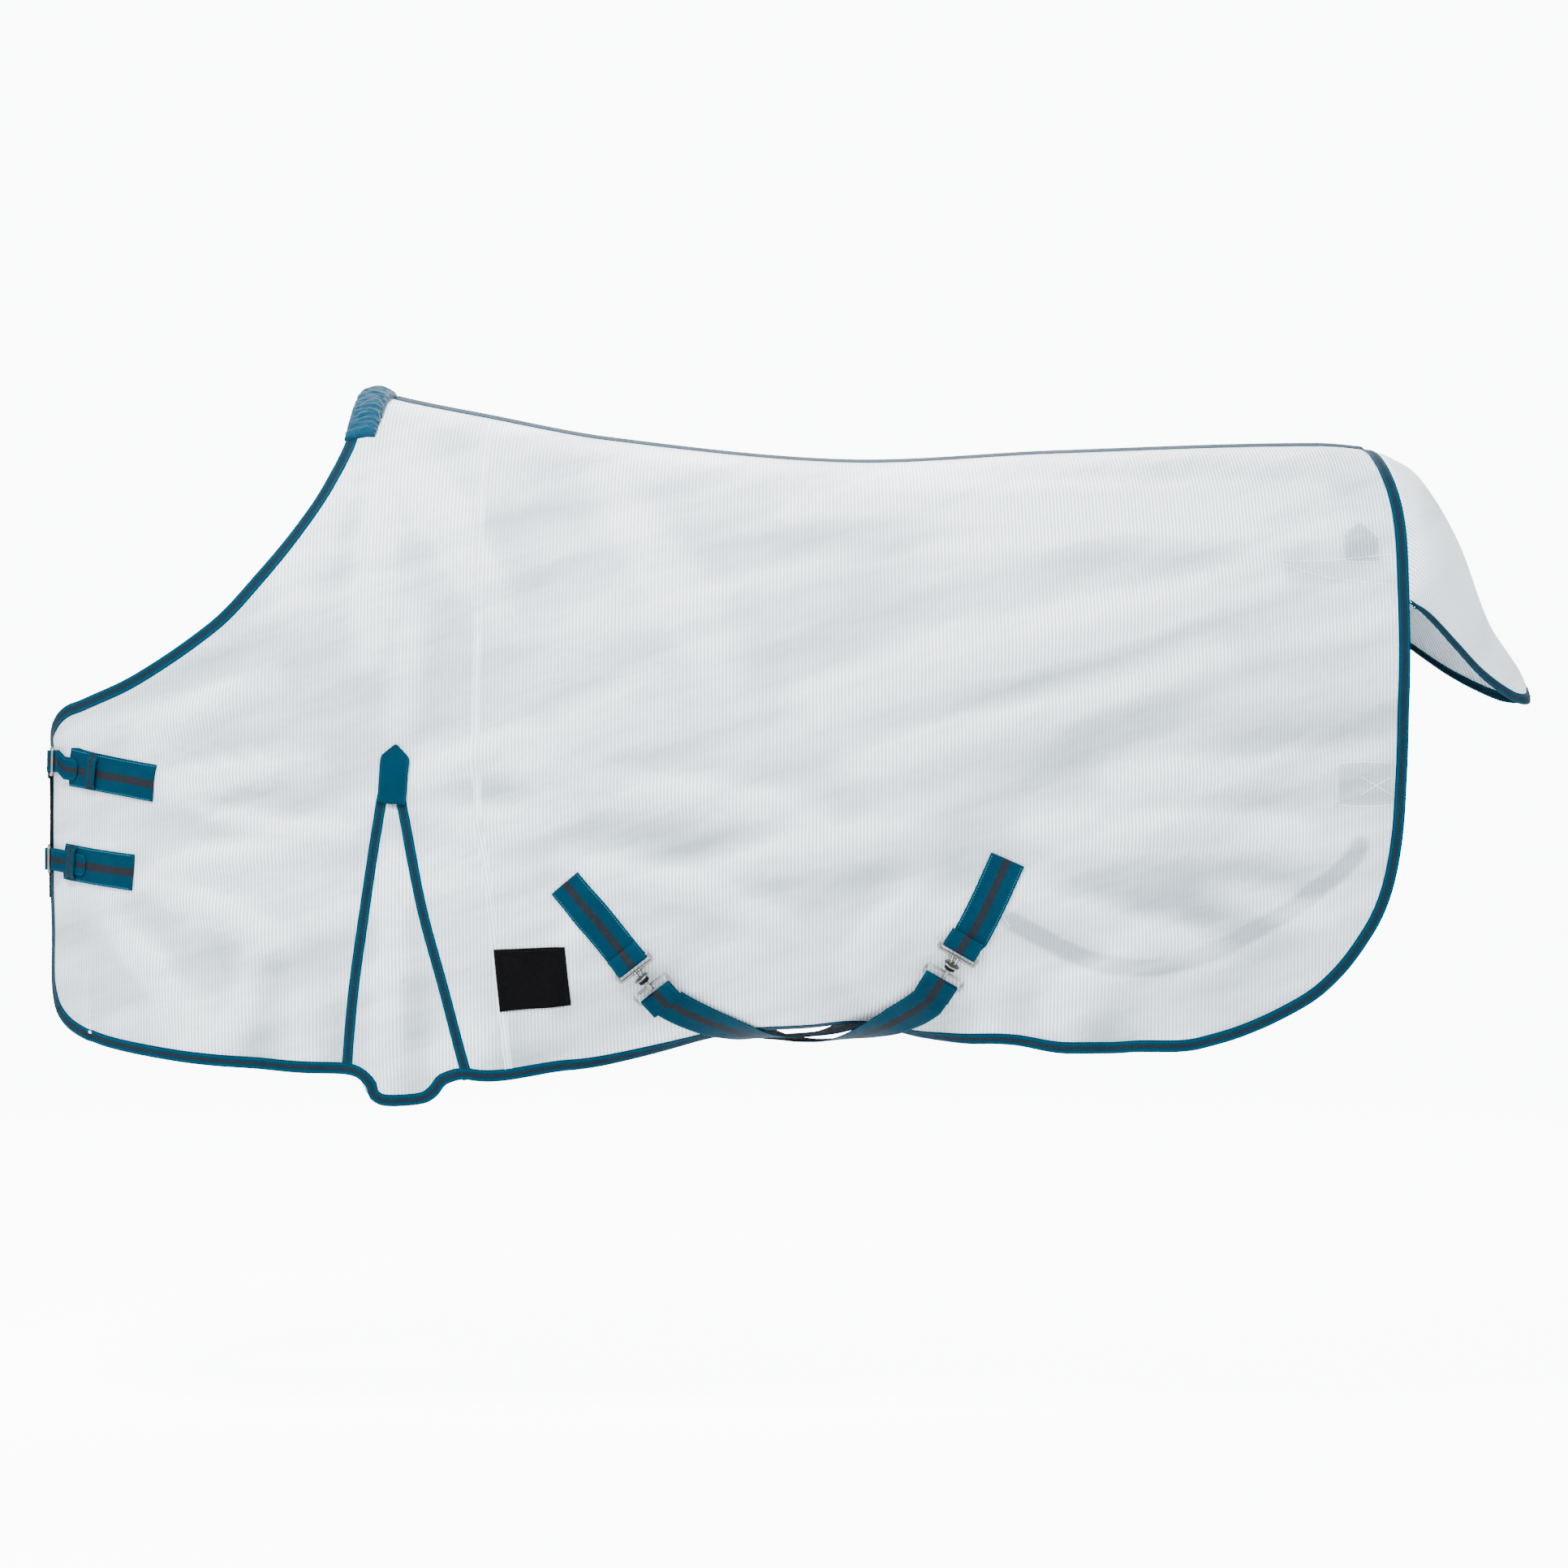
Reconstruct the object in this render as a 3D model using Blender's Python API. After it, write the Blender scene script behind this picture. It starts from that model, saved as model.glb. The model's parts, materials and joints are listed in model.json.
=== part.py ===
"""A horse fly sheet: two ribbed mesh halves with shoulder gussets, a fleece withers pad, two chest
buckles, cross surcingles with hook clips, leg straps with snap clips, and a hinged tail flap.

+X runs from the withers to the tail, -Y is the horse's near (left) side, +Z is up. The origin is
the point of the horse's withers, under the pad. The sheet is drawn as it lies on a horse.
"""

import math

import bmesh
import bpy
from mathutils import Matrix, Vector

# The horse that the sheet is cut for, in metres.
BACK_LENGTH = 1.458  # withers to dock
CHEST_REACH = 0.480  # withers forward to the chest
BODY_WIDTH = 0.610  # over the barrel
BODY_DEPTH = 0.932  # withers to the underside of the belly
CHEST_RADIUS = 0.115  # the front of the chest, seen from above
CHEST_TURN = math.radians(48)  # how far round that radius goes

# The cloth and its tapes.
CLOTH = 0.0020
TAPE_THICK = 0.0040
EDGE_TAPE = 0.018
GUSSET_TAPE = 0.015
SPINE_TAPE = 0.046
FRONT_GAP = 0.045  # from the middle of the chest to each front edge
PAD_WIDE, PAD_THICK, PAD_DROP = 0.042, 0.018, 1.9  # PAD_DROP counts rows of the lattice
GAP = 0.0003  # between neighbours

# The webbing and its fittings.
WEB = 0.050
WEB_THICK = 0.0020
BILLET = 0.032
CHEST_WEB = 0.052
LEG_WEB = 0.025
FIT = 0.0005  # round a bar that turns or slides in a loop of webbing
LIFT = 0.0009  # from the cloth to the underside of webbing sewn on it
WIRE = 0.0021  # radius of a buckle's wire
BUCKLE_PLAY = 0.0055  # from the billet's edge to the outside of its buckle
CHEST_LOOP = 0.030  # along the strap, over the wire's middle
STUD_RADIUS = 0.0040
DISC_RADIUS = 0.0115
RING_RADIUS = 0.0080
FLAP_REACH = 0.246  # dock to the flap's tip, along x
FLAP_DROP = 0.372

# The outlines are drawn for this horse; the sizes above stretch them.
DRAWN = (1.458, 0.610, 0.932)
LONG, WIDE, DEEP = BACK_LENGTH / DRAWN[0], BODY_WIDTH / DRAWN[1], BODY_DEPTH / DRAWN[2]
AHEAD = CHEST_REACH / 0.480
TOPLINE = [(-0.48, -0.205), (-0.20, -0.080), (0.0, 0.008), (0.032, -0.004), (0.16, -0.030),
           (0.342, -0.064), (0.69, -0.097), (1.0, -0.084), (1.386, -0.073), (1.50, -0.084)]
HALF_WIDTH = [(-0.10, 0.220), (0.0, 0.223), (0.16, 0.243), (0.342, 0.272), (0.69, 0.305),
              (1.0, 0.300), (1.25, 0.283), (1.386, 0.268), (1.50, 0.252)]
WIDEST = [(-0.48, -0.520), (0.0, -0.500), (0.5, -0.510), (0.9, -0.510), (1.50, -0.460)]
BELOW = [(-0.48, 0.80), (0.10, 0.80), (0.30, 0.60), (0.50, 0.442), (0.64, 0.420),
         (0.78, 0.436), (1.0, 0.68), (1.20, 0.86), (1.50, 0.90)]
FRONT_EDGE = [(-0.012, 0.008), (-0.0255, -0.072), (-0.052, -0.140), (-0.094, -0.207),
              (-0.150, -0.277), (-0.211, -0.340), (-0.3235, -0.413), (-0.409, -0.448),
              (-0.452, -0.462), (None, -0.495), (None, -0.510), (None, -0.530), (None, -0.650), (None, -0.780), (None, -0.860),
              (-0.455, -0.917)]
HEM = [(-0.455, -0.917), (-0.380, -0.946), (-0.290, -0.959), (-0.160, -0.971), (-0.020, -0.980), (0.012, -0.996),
       (0.060, -1.020), (0.117, -1.000), (0.156, -0.984), (0.356, -0.963), (0.47, -0.932),
       (0.54, -0.914), (0.64, -0.910), (0.76, -0.912), (0.90, -0.930), (1.077, -0.943),
       (1.18, -0.938), (1.264, -0.914), (1.410, -0.802)]
REAR_EDGE = [(1.458, -0.080), (1.466, -0.108), (1.477, -0.197), (1.476, -0.320),
             (1.473, -0.480), (1.468, -0.607), (1.410, -0.802)]
SEAM = [(0.172, -0.030), (0.172, -0.300), (0.172, -0.600), (0.190, -0.730), (0.214, -0.984)]
APEX = -0.588  # height of the gusset's top
GUSSET_FRONT = [(0.036, APEX), (0.012, -0.740), (-0.006, -0.860), (-0.018, -0.980)]
GUSSET_REAR = [(0.062, APEX), (0.092, -0.740), (0.124, -0.860), (0.156, -0.984)]
COLS, ROWS, CROWD = 26, 15, 1.35  # the lattice, and how it crowds towards the front edge
UPPER, LOWER = 2 / 2.3, 2 / 2.6  # how square the section is above and below its widest


def smooth(points, x):
    """The value at x on a smooth curve through points, a list of (x, value)."""
    x = min(max(x, points[0][0]), points[-1][0])
    last = len(points) - 1
    k = next(k for k in range(last) if x <= points[k + 1][0])

    def slope(n):
        a, b = points[max(n - 1, 0)], points[min(n + 1, last)]
        return (b[1] - a[1]) / (b[0] - a[0])

    (x0, y0), (x1, y1) = points[k], points[k + 1]
    span = x1 - x0
    f = (x - x0) / span
    rise = slope(k) * (f - 2 * f**2 + f**3) + slope(k + 1) * (f**3 - f**2)
    return y0 + (y1 - y0) * (3 * f**2 - 2 * f**3) + rise * span


def through(points, f):
    """The point at f of 0 to 1 on a smooth curve through points, spaced by their distances."""
    ends = [0.0]
    for a, b in zip(points, points[1:]):
        ends.append(ends[-1] + (Vector(b) - Vector(a)).length)
    at = f * ends[-1]
    return [smooth([(e, p[k]) for e, p in zip(ends, points)], at) for k in range(len(points[0]))]


# ---- The horse's shape --------------------------------------------------------------------------
# A point of it has q, its place along the body measured round the chest, and v, its place round
# the girth: 0 at the topline, 1 where the body is widest and 2 under the belly.

SHOULDER = HALF_WIDTH[0][1] * WIDE
FLANK_RADIUS = (SHOULDER - CHEST_RADIUS * math.sin(CHEST_TURN)) / (1 - math.sin(CHEST_TURN))
CHEST_ARC = CHEST_RADIUS * CHEST_TURN
BOW_ARC = CHEST_ARC + FLANK_RADIUS * (math.pi / 2 - CHEST_TURN)
CHEST_X = -CHEST_REACH + CHEST_RADIUS * (1 - math.cos(CHEST_TURN))
BOW_X = CHEST_X + FLANK_RADIUS * math.cos(CHEST_TURN)


def plan(q):
    """x and half width at q, seen from above."""
    if q < CHEST_ARC:
        turn = q / CHEST_RADIUS
        return -CHEST_REACH + CHEST_RADIUS * (1 - math.cos(turn)), CHEST_RADIUS * math.sin(turn)
    if q < BOW_ARC:
        turn = CHEST_TURN + (q - CHEST_ARC) / FLANK_RADIUS
        return (CHEST_X + FLANK_RADIUS * (math.cos(CHEST_TURN) - math.cos(turn)),
                SHOULDER - FLANK_RADIUS * (1 - math.sin(turn)))
    x = BOW_X + q - BOW_ARC
    return x, smooth(HALF_WIDTH, max(drawn_x(x), HALF_WIDTH[0][0])) * WIDE


def real_x(x):
    """Where a drawn x falls on this size of sheet: the chest's reach ahead, its length behind."""
    return x * (AHEAD if x < 0 else LONG)


def drawn_x(x):
    """The drawn x of a real one."""
    return x / (AHEAD if x < 0 else LONG)


def along(x):
    """q at x."""
    if x < CHEST_X:
        return CHEST_RADIUS * math.acos(min(1 - (x + CHEST_REACH) / CHEST_RADIUS, 1))
    if x < BOW_X:
        turn = math.acos(math.cos(CHEST_TURN) - (x - CHEST_X) / FLANK_RADIUS)
        return CHEST_ARC + FLANK_RADIUS * (turn - CHEST_TURN)
    return BOW_ARC + x - BOW_X


def heights(x):
    """The heights of the topline, of the widest level and of the belly at x."""
    top, widest, below = (smooth(rows, drawn_x(x)) * DEEP for rows in (TOPLINE, WIDEST, BELOW))
    return top, widest, widest - below


def around(x, z):
    """v at x and height z."""
    top, widest, belly = heights(x)
    if z > widest:
        return math.acos(min((z - widest) / (top - widest), 1) ** (1 / UPPER)) * 2 / math.pi
    return 1 + math.asin(min((widest - z) / (widest - belly), 1) ** (1 / LOWER)) * 2 / math.pi


def body(q, v):
    """The point of the horse's near side at q and v; negative values reach the far side."""
    side = -1 if q * v > 0 or (q > 0 and v == 0) else 1
    q, v = abs(q), abs(v)
    x, half = plan(q)
    top, widest, belly = heights(x)
    turn = v % 1 * math.pi / 2 if v < 2 else math.pi / 2
    if v < 1:
        y, z = math.sin(turn) ** UPPER, widest + (top - widest) * math.cos(turn) ** UPPER
    else:
        y, z = math.cos(turn) ** LOWER, widest - (widest - belly) * math.sin(turn) ** LOWER
    return Vector((x, side * half * y, z))


def drawn(x, z):
    """A drawn outline point as (q, v). No x means the front edge."""
    q = FRONT_GAP if x is None else along(real_x(x))
    return q, around(plan(q)[0], z * DEEP)


def outward(q, v):
    """The direction straight out of the body at q and v."""
    step = 0.004
    across = body(q, v + step) - body(q, v - step)
    return across.cross(body(q + step, v) - body(q - step, v)).normalized()


# ---- The lattice that every piece of cloth is cut on --------------------------------------------


def edge_curve(points):
    """A function of 0 to 1 that gives (q, v) along an outline, spaced by its real length."""
    flat = [drawn(x, z) for x, z in points]
    places = [tuple(body(q, v)) + (q, v) for q, v in flat]
    ends = [0.0]
    for a, b in zip(places, places[1:]):
        ends.append(ends[-1] + (Vector(b[:3]) - Vector(a[:3])).length)
    return lambda f: [smooth([(e, p[k]) for e, p in zip(ends, places)], f * ends[-1]) for k in (3, 4)]


front_edge, rear_edge, hem_edge = edge_curve(FRONT_EDGE), edge_curve(REAR_EDGE), edge_curve(HEM)


def spread(s, t):
    """(q, v) at s from front edge to rear edge and t from spine to hem: a Coons patch."""
    front, rear, hem = front_edge(t), rear_edge(t), hem_edge(s)
    corners = front_edge(0), rear_edge(0), front_edge(1), rear_edge(1)
    found = []
    for k in (0, 1):
        spine = (corners[1][k] * s + corners[0][k] * (1 - s)) if k == 0 else 0.0
        sides = front[k] * (1 - s) + rear[k] * s + spine * (1 - t) + hem[k] * t
        blend = (corners[0][k] * (1 - s) + corners[1][k] * s) * (1 - t)
        blend += (corners[2][k] * (1 - s) + corners[3][k] * s) * t
        found.append(sides - blend)
    found[1] = max(found[1], 0.0)
    return found


def column(i):
    return max(i / COLS, 0) ** CROWD


NODES = {}
for col in range(COLS + 1):
    for row in range(ROWS + 1):
        place = spread(column(col), row / ROWS)
        NODES[col, row] = body(*place), outward(*place)
        if row == 0:
            point, normal = NODES[col, row]
            point.y = normal.y = 0.0
            normal.normalize()


def cloth(i, j, off=0.0):
    """The point at lattice place i, j, at a distance off out of the cloth. Negative j is far."""
    side, j = (-1 if j < 0 else 1), abs(j)
    i0, j0 = min(int(max(i, 0)), COLS - 1), min(int(j), ROWS - 1)
    fi, fj = i - i0, j - j0
    corner = (i0 + 1, j0) if fi >= fj else (i0, j0 + 1)
    shares = ((i0, j0), 1 - max(fi, fj)), (corner, abs(fi - fj)), ((i0 + 1, j0 + 1), min(fi, fj))
    point = sum(((NODES[at][0] + NODES[at][1] * off) * share for at, share in shares), Vector())
    return Vector((point.x, side * point.y, point.z))


def index_of(x, z):
    """The lattice place of the drawn point x, z, by Newton's method."""
    goal = drawn(x, z)
    s, t = 0.5, 0.5
    for _ in range(30):
        here = spread(s, t)
        step = 1e-4
        ds = [(b - a) / step for a, b in zip(here, spread(s + step, t))]
        dt = [(b - a) / step for a, b in zip(here, spread(s, t + step))]
        miss = goal[0] - here[0], goal[1] - here[1]
        det = ds[0] * dt[1] - ds[1] * dt[0]
        s += max(-0.2, min(0.2, (miss[0] * dt[1] - miss[1] * dt[0]) / det))
        t += max(-0.2, min(0.2, (ds[0] * miss[1] - ds[1] * miss[0]) / det))
        s, t = min(max(s, 1e-5), 1), min(max(t, 0), 1)
        if abs(miss[0]) + abs(miss[1]) < 1e-9:
            break
    return COLS * s ** (1 / CROWD), ROWS * t


def steps_at(i, j):
    """The lattice's two steps at i, j, in metres, as vectors."""
    i0, i1 = max(i - 0.5, 0), min(i + 0.5, COLS)
    j0, j1 = max(j - 0.5, 0), min(j + 0.5, ROWS)
    return (cloth(i1, j) - cloth(i0, j)) / (i1 - i0), (cloth(i, j1) - cloth(i, j0)) / (j1 - j0)


def columns_in(width, i, j):
    """How many columns a width measured square to a column's line is, at i, j."""
    by_i, by_j = steps_at(i, j)
    return width * by_j.length / by_i.cross(by_j).length


def rows_in(width, i, j):
    by_i, by_j = steps_at(i, j)
    return width * by_i.length / by_i.cross(by_j).length


# ---- Making the objects -------------------------------------------------------------------------


def material(name, colour, roughness, metallic=0.0):
    made = bpy.data.materials.new(name)
    made.use_nodes = True
    shader = made.node_tree.nodes["Principled BSDF"]
    shader.inputs["Base Color"].default_value = (*colour, 1)
    shader.inputs["Roughness"].default_value = roughness
    shader.inputs["Metallic"].default_value = metallic
    return made


def make(name, bm, surface, matrix=None):
    bmesh.ops.recalc_face_normals(bm, faces=bm.faces)
    mesh = bpy.data.meshes.new(name)
    bm.to_mesh(mesh)
    bm.free()
    made = bpy.data.objects.new(name, mesh)
    bpy.context.scene.collection.objects.link(made)
    mesh.materials.append(surface)
    if matrix is not None:
        made.matrix_world = matrix
    return made


def mirrored(near, name):
    """The far side's copy of a near piece."""
    bm = bmesh.new()
    bm.from_mesh(near.data)
    bmesh.ops.transform(bm, matrix=near.matrix_world, verts=bm.verts)
    bmesh.ops.transform(bm, matrix=Matrix.Scale(-1, 4, (0, 1, 0)), verts=bm.verts)
    return make(name, bm, near.data.materials[0])


def both(near_name, build, *args):
    near = build(near_name, *args)
    return near, mirrored(near, near_name.replace("_near", "_far"))


def tile(name, outline, inner, outer, surface):
    """A piece cut to an outline of lattice places, between two distances out of the cloth."""
    bm = bmesh.new()
    bm.faces.new([bm.verts.new((i, j, 0)) for i, j in outline])
    reach = max(COLS, ROWS) * 2
    for normal in ((1, 0, 0), (0, 1, 0), (1, -1, 0), (1, 1, 0)):
        along_normal = [v.co.dot(Vector(normal)) for v in bm.verts]
        mirrored_side = min(v.co.y for v in bm.verts) < -1e-6
        if normal == (1, 1, 0) and not mirrored_side:
            continue
        for k in range(-reach, reach):
            if not min(along_normal) + 1e-3 < k < max(along_normal) - 1e-3:
                continue
            centre = Vector(normal) * (k / Vector(normal).length_squared)
            geometry = bm.verts[:] + bm.edges[:] + bm.faces[:]
            bmesh.ops.bisect_plane(bm, geom=geometry, dist=1e-4, plane_co=centre, plane_no=normal)
    bmesh.ops.triangulate(bm, faces=bm.faces)
    lower = bm.verts[:]
    places = [tuple(v.co[:2]) for v in lower]
    raised = bmesh.ops.extrude_face_region(bm, geom=bm.faces[:], use_keep_orig=True)["geom"]
    for v in (g for g in raised if isinstance(g, bmesh.types.BMVert)):
        v.co = cloth(v.co.x, v.co.y, outer)
    for v, (i, j) in zip(lower, places):
        v.co = cloth(i, j, inner)
    return make(name, bm, surface)


def ribbon(name, sections, surface):
    """A strap from its cross-sections, each a list of (outer, inner) points across it."""
    bm = bmesh.new()
    grid = [[(bm.verts.new(a), bm.verts.new(b)) for a, b in section] for section in sections]
    for near, far in zip(grid, grid[1:]):
        for k in range(len(near) - 1):
            bm.faces.new((near[k][0], near[k + 1][0], far[k + 1][0], far[k][0]))
            bm.faces.new((near[k][1], far[k][1], far[k + 1][1], near[k + 1][1]))
        for k in (0, -1):
            bm.faces.new((near[k][0], far[k][0], far[k][1], near[k][1]))
    for section in (grid[0], grid[-1]):
        rim = [pair[0] for pair in section] + [pair[1] for pair in reversed(section)]
        bm.faces.new(rim)
    return make(name, bm, surface)


class Line:
    """A line drawn on the near side, which straps and fittings follow."""

    def __init__(self, points):
        self.points, self.known, count = points, {}, 60
        spots = [body(*drawn(*through(points, k / count))) for k in range(count + 1)]
        self.table = [(0.0, 0.0)]
        for k in range(count):
            self.table.append((self.table[-1][0] + (spots[k + 1] - spots[k]).length, (k + 1) / count))
        self.length = self.table[-1][0]

    def index(self, a):
        return index_of(*through(self.points, smooth(self.table, a)))

    def at(self, a):
        """At a: the lattice place, the way along, the way out, and what turns moves to steps."""
        if a not in self.known:
            i, j = self.index(a)
            by_i, by_j = steps_at(i, j)
            normal = by_j.cross(by_i).normalized()
            ahead, behind = min(a + 0.01, self.length), max(a - 0.01, 0)
            way = (cloth(*self.index(ahead)) - cloth(*self.index(behind))).normalized()
            basis = Matrix((by_i, by_j, normal)).transposed().inverted()
            self.known[a] = i, j, way, normal, basis
        return self.known[a]

    def cloth(self, a, b, off):
        """A point a along the line, b to its side and off out of the cloth."""
        i, j, way, normal, basis = self.at(a)
        move = basis @ (normal.cross(way) * b)
        return cloth(i + move.x, j + move.y, off)

    def frame(self, a):
        """The frame on the cloth at a: x along the line, y across it and z out."""
        i, j, way, normal, _ = self.at(a)
        side = normal.cross(way).normalized()
        frame = Matrix((way, side, way.cross(side))).transposed().to_4x4()
        frame.translation = cloth(i, j)
        return frame

    def section(self, a, off, width, thick=WEB_THICK, cuts=4):
        """A cross-section of webbing whose middle lies off out of the cloth."""
        across = [width * (k / cuts - 0.5) for k in range(cuts + 1)]
        return [(self.cloth(a, b, off + thick / 2), self.cloth(a, b, off - thick / 2)) for b in across]

    def run(self, start, end, off, width, thick=WEB_THICK, step=0.016):
        """Cross-sections from start to end; off may be a function of a."""
        count = max(round(abs(end - start) / step), 1)
        stops = [start + (end - start) * k / count for k in range(count + 1)]
        level = off if callable(off) else lambda a: off
        return [self.section(a, level(a), width, thick) for a in stops]


def rigid(frame, path, width, thick=WEB_THICK, cuts=4):
    """Cross-sections of webbing along a path of (x, z) in a frame, straight across it."""
    sections = []
    for k, here in enumerate(path):
        before, after = Vector(path[max(k - 1, 0)]), Vector(path[min(k + 1, len(path) - 1)])
        way = (after - before).normalized()
        up = Vector((-way.y, way.x)) * thick / 2
        row = []
        for n in range(cuts + 1):
            b = width * (n / cuts - 0.5)
            row.append(tuple(frame @ Vector((here[0] + up.x * s, b, here[1] + up.y * s))
                             for s in (1, -1)))
        sections.append(row)
    return sections


def bend(bar_x, bar_z, radius, start, end, turns=6):
    """Points of a path bent round a bar, from one angle in degrees to another."""
    angles = [math.radians(start + (end - start) * k / turns) for k in range(turns + 1)]
    return [(bar_x + radius * math.cos(a), bar_z + radius * math.sin(a)) for a in angles]


def mirror_sections(sections):
    flip = Matrix.Scale(-1, 3, (0, 1, 0))
    return [[(flip @ a, flip @ b) for a, b in section] for section in sections]


def rounded(length, width, radius, corner_cuts=3):
    """The corners of a rounded rectangle about the origin, in order."""
    points = []
    for sx, sy, start in ((1, 1, 0), (-1, 1, 90), (-1, -1, 180), (1, -1, 270)):
        for k in range(corner_cuts + 1):
            turn = math.radians(start + 90 * k / corner_cuts)
            points.append(Vector((sx * (length / 2 - radius) + radius * math.cos(turn),
                                  sy * (width / 2 - radius) + radius * math.sin(turn), 0)))
    return points


def wire_loop(points, radius, sides=8):
    """A bmesh of round wire bent along a closed flat line of points."""
    bm = bmesh.new()
    rings = []
    for k, here in enumerate(points):
        way = (points[(k + 1) % len(points)] - points[k - 1]).normalized()
        side = way.cross(Vector((0, 0, 1)))
        ring = []
        for n in range(sides):
            turn = 2 * math.pi * (n + 0.5) / sides
            ring.append(bm.verts.new(here + (side * math.cos(turn) + Vector((0, 0, 1)) * math.sin(turn)) * radius))
        rings.append(ring)
    for ring, after in zip(rings, rings[1:] + rings[:1]):
        for n in range(sides):
            m = (n + 1) % sides
            bm.faces.new((ring[n], ring[m], after[m], after[n]))
    return bm


def rod(start, end, radius, sides=8, bm=None):
    """A bmesh of a round bar between two points."""
    bm = bm or bmesh.new()
    start, end = Vector(start), Vector(end)
    turn = (end - start).to_track_quat("Z", "Y").to_matrix().to_4x4()
    turn.translation = (start + end) / 2
    bmesh.ops.create_cone(bm, cap_ends=True, segments=sides, radius1=radius, radius2=radius,
                          depth=(end - start).length, matrix=turn)
    return bm


def slab(corners_low, corners_high):
    """A bmesh of a box between two corners."""
    bm = bmesh.new()
    low, high = Vector(corners_low), Vector(corners_high)
    size = Matrix.Diagonal((*(high - low), 1))
    bmesh.ops.create_cube(bm, size=1, matrix=Matrix.Translation((low + high) / 2) @ size)
    return bm


def joined(name, surface, frame, first, *others, cut=()):
    """One solid from bmeshes drawn in a frame: the first, with the others added and some cut."""
    made = make(name, first, surface)
    helpers = []
    for shape, operation in [(o, "UNION") for o in others] + [(c, "DIFFERENCE") for c in cut]:
        helper = make("helper", shape, surface)
        helpers.append(helper)
        change = made.modifiers.new(operation, "BOOLEAN")
        change.operation, change.object = operation, helper
    graph = bpy.context.evaluated_depsgraph_get()
    solid = bpy.data.meshes.new_from_object(made.evaluated_get(graph))
    made.modifiers.clear()
    made.data = solid
    for helper in helpers:
        bpy.data.objects.remove(helper, do_unlink=True)
    made.matrix_world = frame
    return made


# ---- Colours ------------------------------------------------------------------------------------

for old in list(bpy.data.objects):
    bpy.data.objects.remove(old, do_unlink=True)

MESH = material("ribbed_mesh", (0.74, 0.77, 0.79), 0.55)
TEAL = material("teal_tape", (0.0, 0.13, 0.20), 0.6)
WEBBING = material("teal_webbing", (0.0, 0.13, 0.21), 0.7)
FLEECE = material("teal_fleece", (0.0, 0.15, 0.22), 0.95)
BLACK = material("black_facing", (0.01, 0.01, 0.011), 0.8)
STEEL = material("plated_steel", (0.75, 0.74, 0.72), 0.2, 1.0)
RUBBER = material("black_rubber", (0.01, 0.01, 0.01), 0.6)

# ---- Cloth, tapes and pad -----------------------------------------------------------------------

HALF_CLOTH, HALF_TAPE = CLOTH / 2, TAPE_THICK / 2
PAD_COLS = columns_in(PAD_WIDE, 1.0, 0.0)
SPINE_ROWS = rows_in(SPINE_TAPE / 2, COLS / 2, 0)
GAP_I, GAP_J = columns_in(GAP, COLS / 2, ROWS / 2) * 1.2, rows_in(GAP, COLS / 2, ROWS / 2) * 1.2


def straightened(level):
    """A tape's inner side, made straight between whole numbers of the lattice."""
    known = {}

    def at(k, extra=0.0):
        low = int(k)
        for whole in (low, low + 1):
            if (whole, extra) not in known:
                known[whole, extra] = level(whole, extra)
        return known[low, extra] + (known[low + 1, extra] - known[low, extra]) * (k - low)
    return at


@straightened
def front_i(j, extra):
    return columns_in(EDGE_TAPE + extra, columns_in(EDGE_TAPE, 0.5, j) / 2, j)


@straightened
def rear_i(j, extra):
    return COLS - columns_in(EDGE_TAPE + extra, COLS - 0.2, j)


@straightened
def hem_j(i, extra):
    return ROWS - rows_in(EDGE_TAPE + extra, i, ROWS - 0.2)


def ramp(start, end):
    """The whole numbers strictly between two numbers, with both ends, in order."""
    inner = [k for k in range(-1, 60) if min(start, end) + 0.01 < k < max(start, end) - 0.01]
    return [start] + (inner if end > start else inner[::-1]) + [end]


def lattice_line(points, start_gap=0.0, shift=0.0):
    """A drawn line as lattice places, moved sideways along the columns by shift metres."""
    found = []
    for k in range(7):
        i, j = index_of(*through(points, k / 6))
        i += math.copysign(columns_in(abs(shift), i, j), shift) if shift else 0
        found.append((i, j))
    found[0] = (found[0][0], found[0][1] + start_gap)
    return found


def to_hem(line):
    """The same line with its lower end on the upper side of the hem's tape."""
    i = line[-1][0]
    return [p for p in line if p[1] < hem_j(i, GAP) - 0.15] + [(i, hem_j(i, GAP))]


def neck_tape(name):
    rows = ramp(PAD_DROP + GAP_J, ROWS)
    return tile(name, [(0, j) for j in rows] + [(front_i(j), j) for j in rows[::-1]],
                -HALF_TAPE, HALF_TAPE, TEAL)


def hem_tape(name):
    start = front_i(ROWS, GAP)
    cols, rows = ramp(start, COLS), ramp(ROWS, GAP_J / 2)
    outer = [(i, ROWS) for i in cols] + [(COLS, j) for j in rows[1:]]
    corner = rear_i(ROWS), hem_j(COLS)
    inner = [(rear_i(j), j) for j in rows[::-1] if j < corner[1] - 0.05] + [corner]
    inner += [(i, hem_j(i)) for i in cols[::-1] if i < corner[0] - 0.05]
    return tile(name, outer + inner, -HALF_TAPE, HALF_TAPE, TEAL)


seam = lattice_line(SEAM)
seam[0] = (seam[0][0], SPINE_ROWS + GAP_J)
seam = to_hem(seam)
pad_end = PAD_COLS + columns_in(GAP, PAD_COLS, 0)


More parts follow.
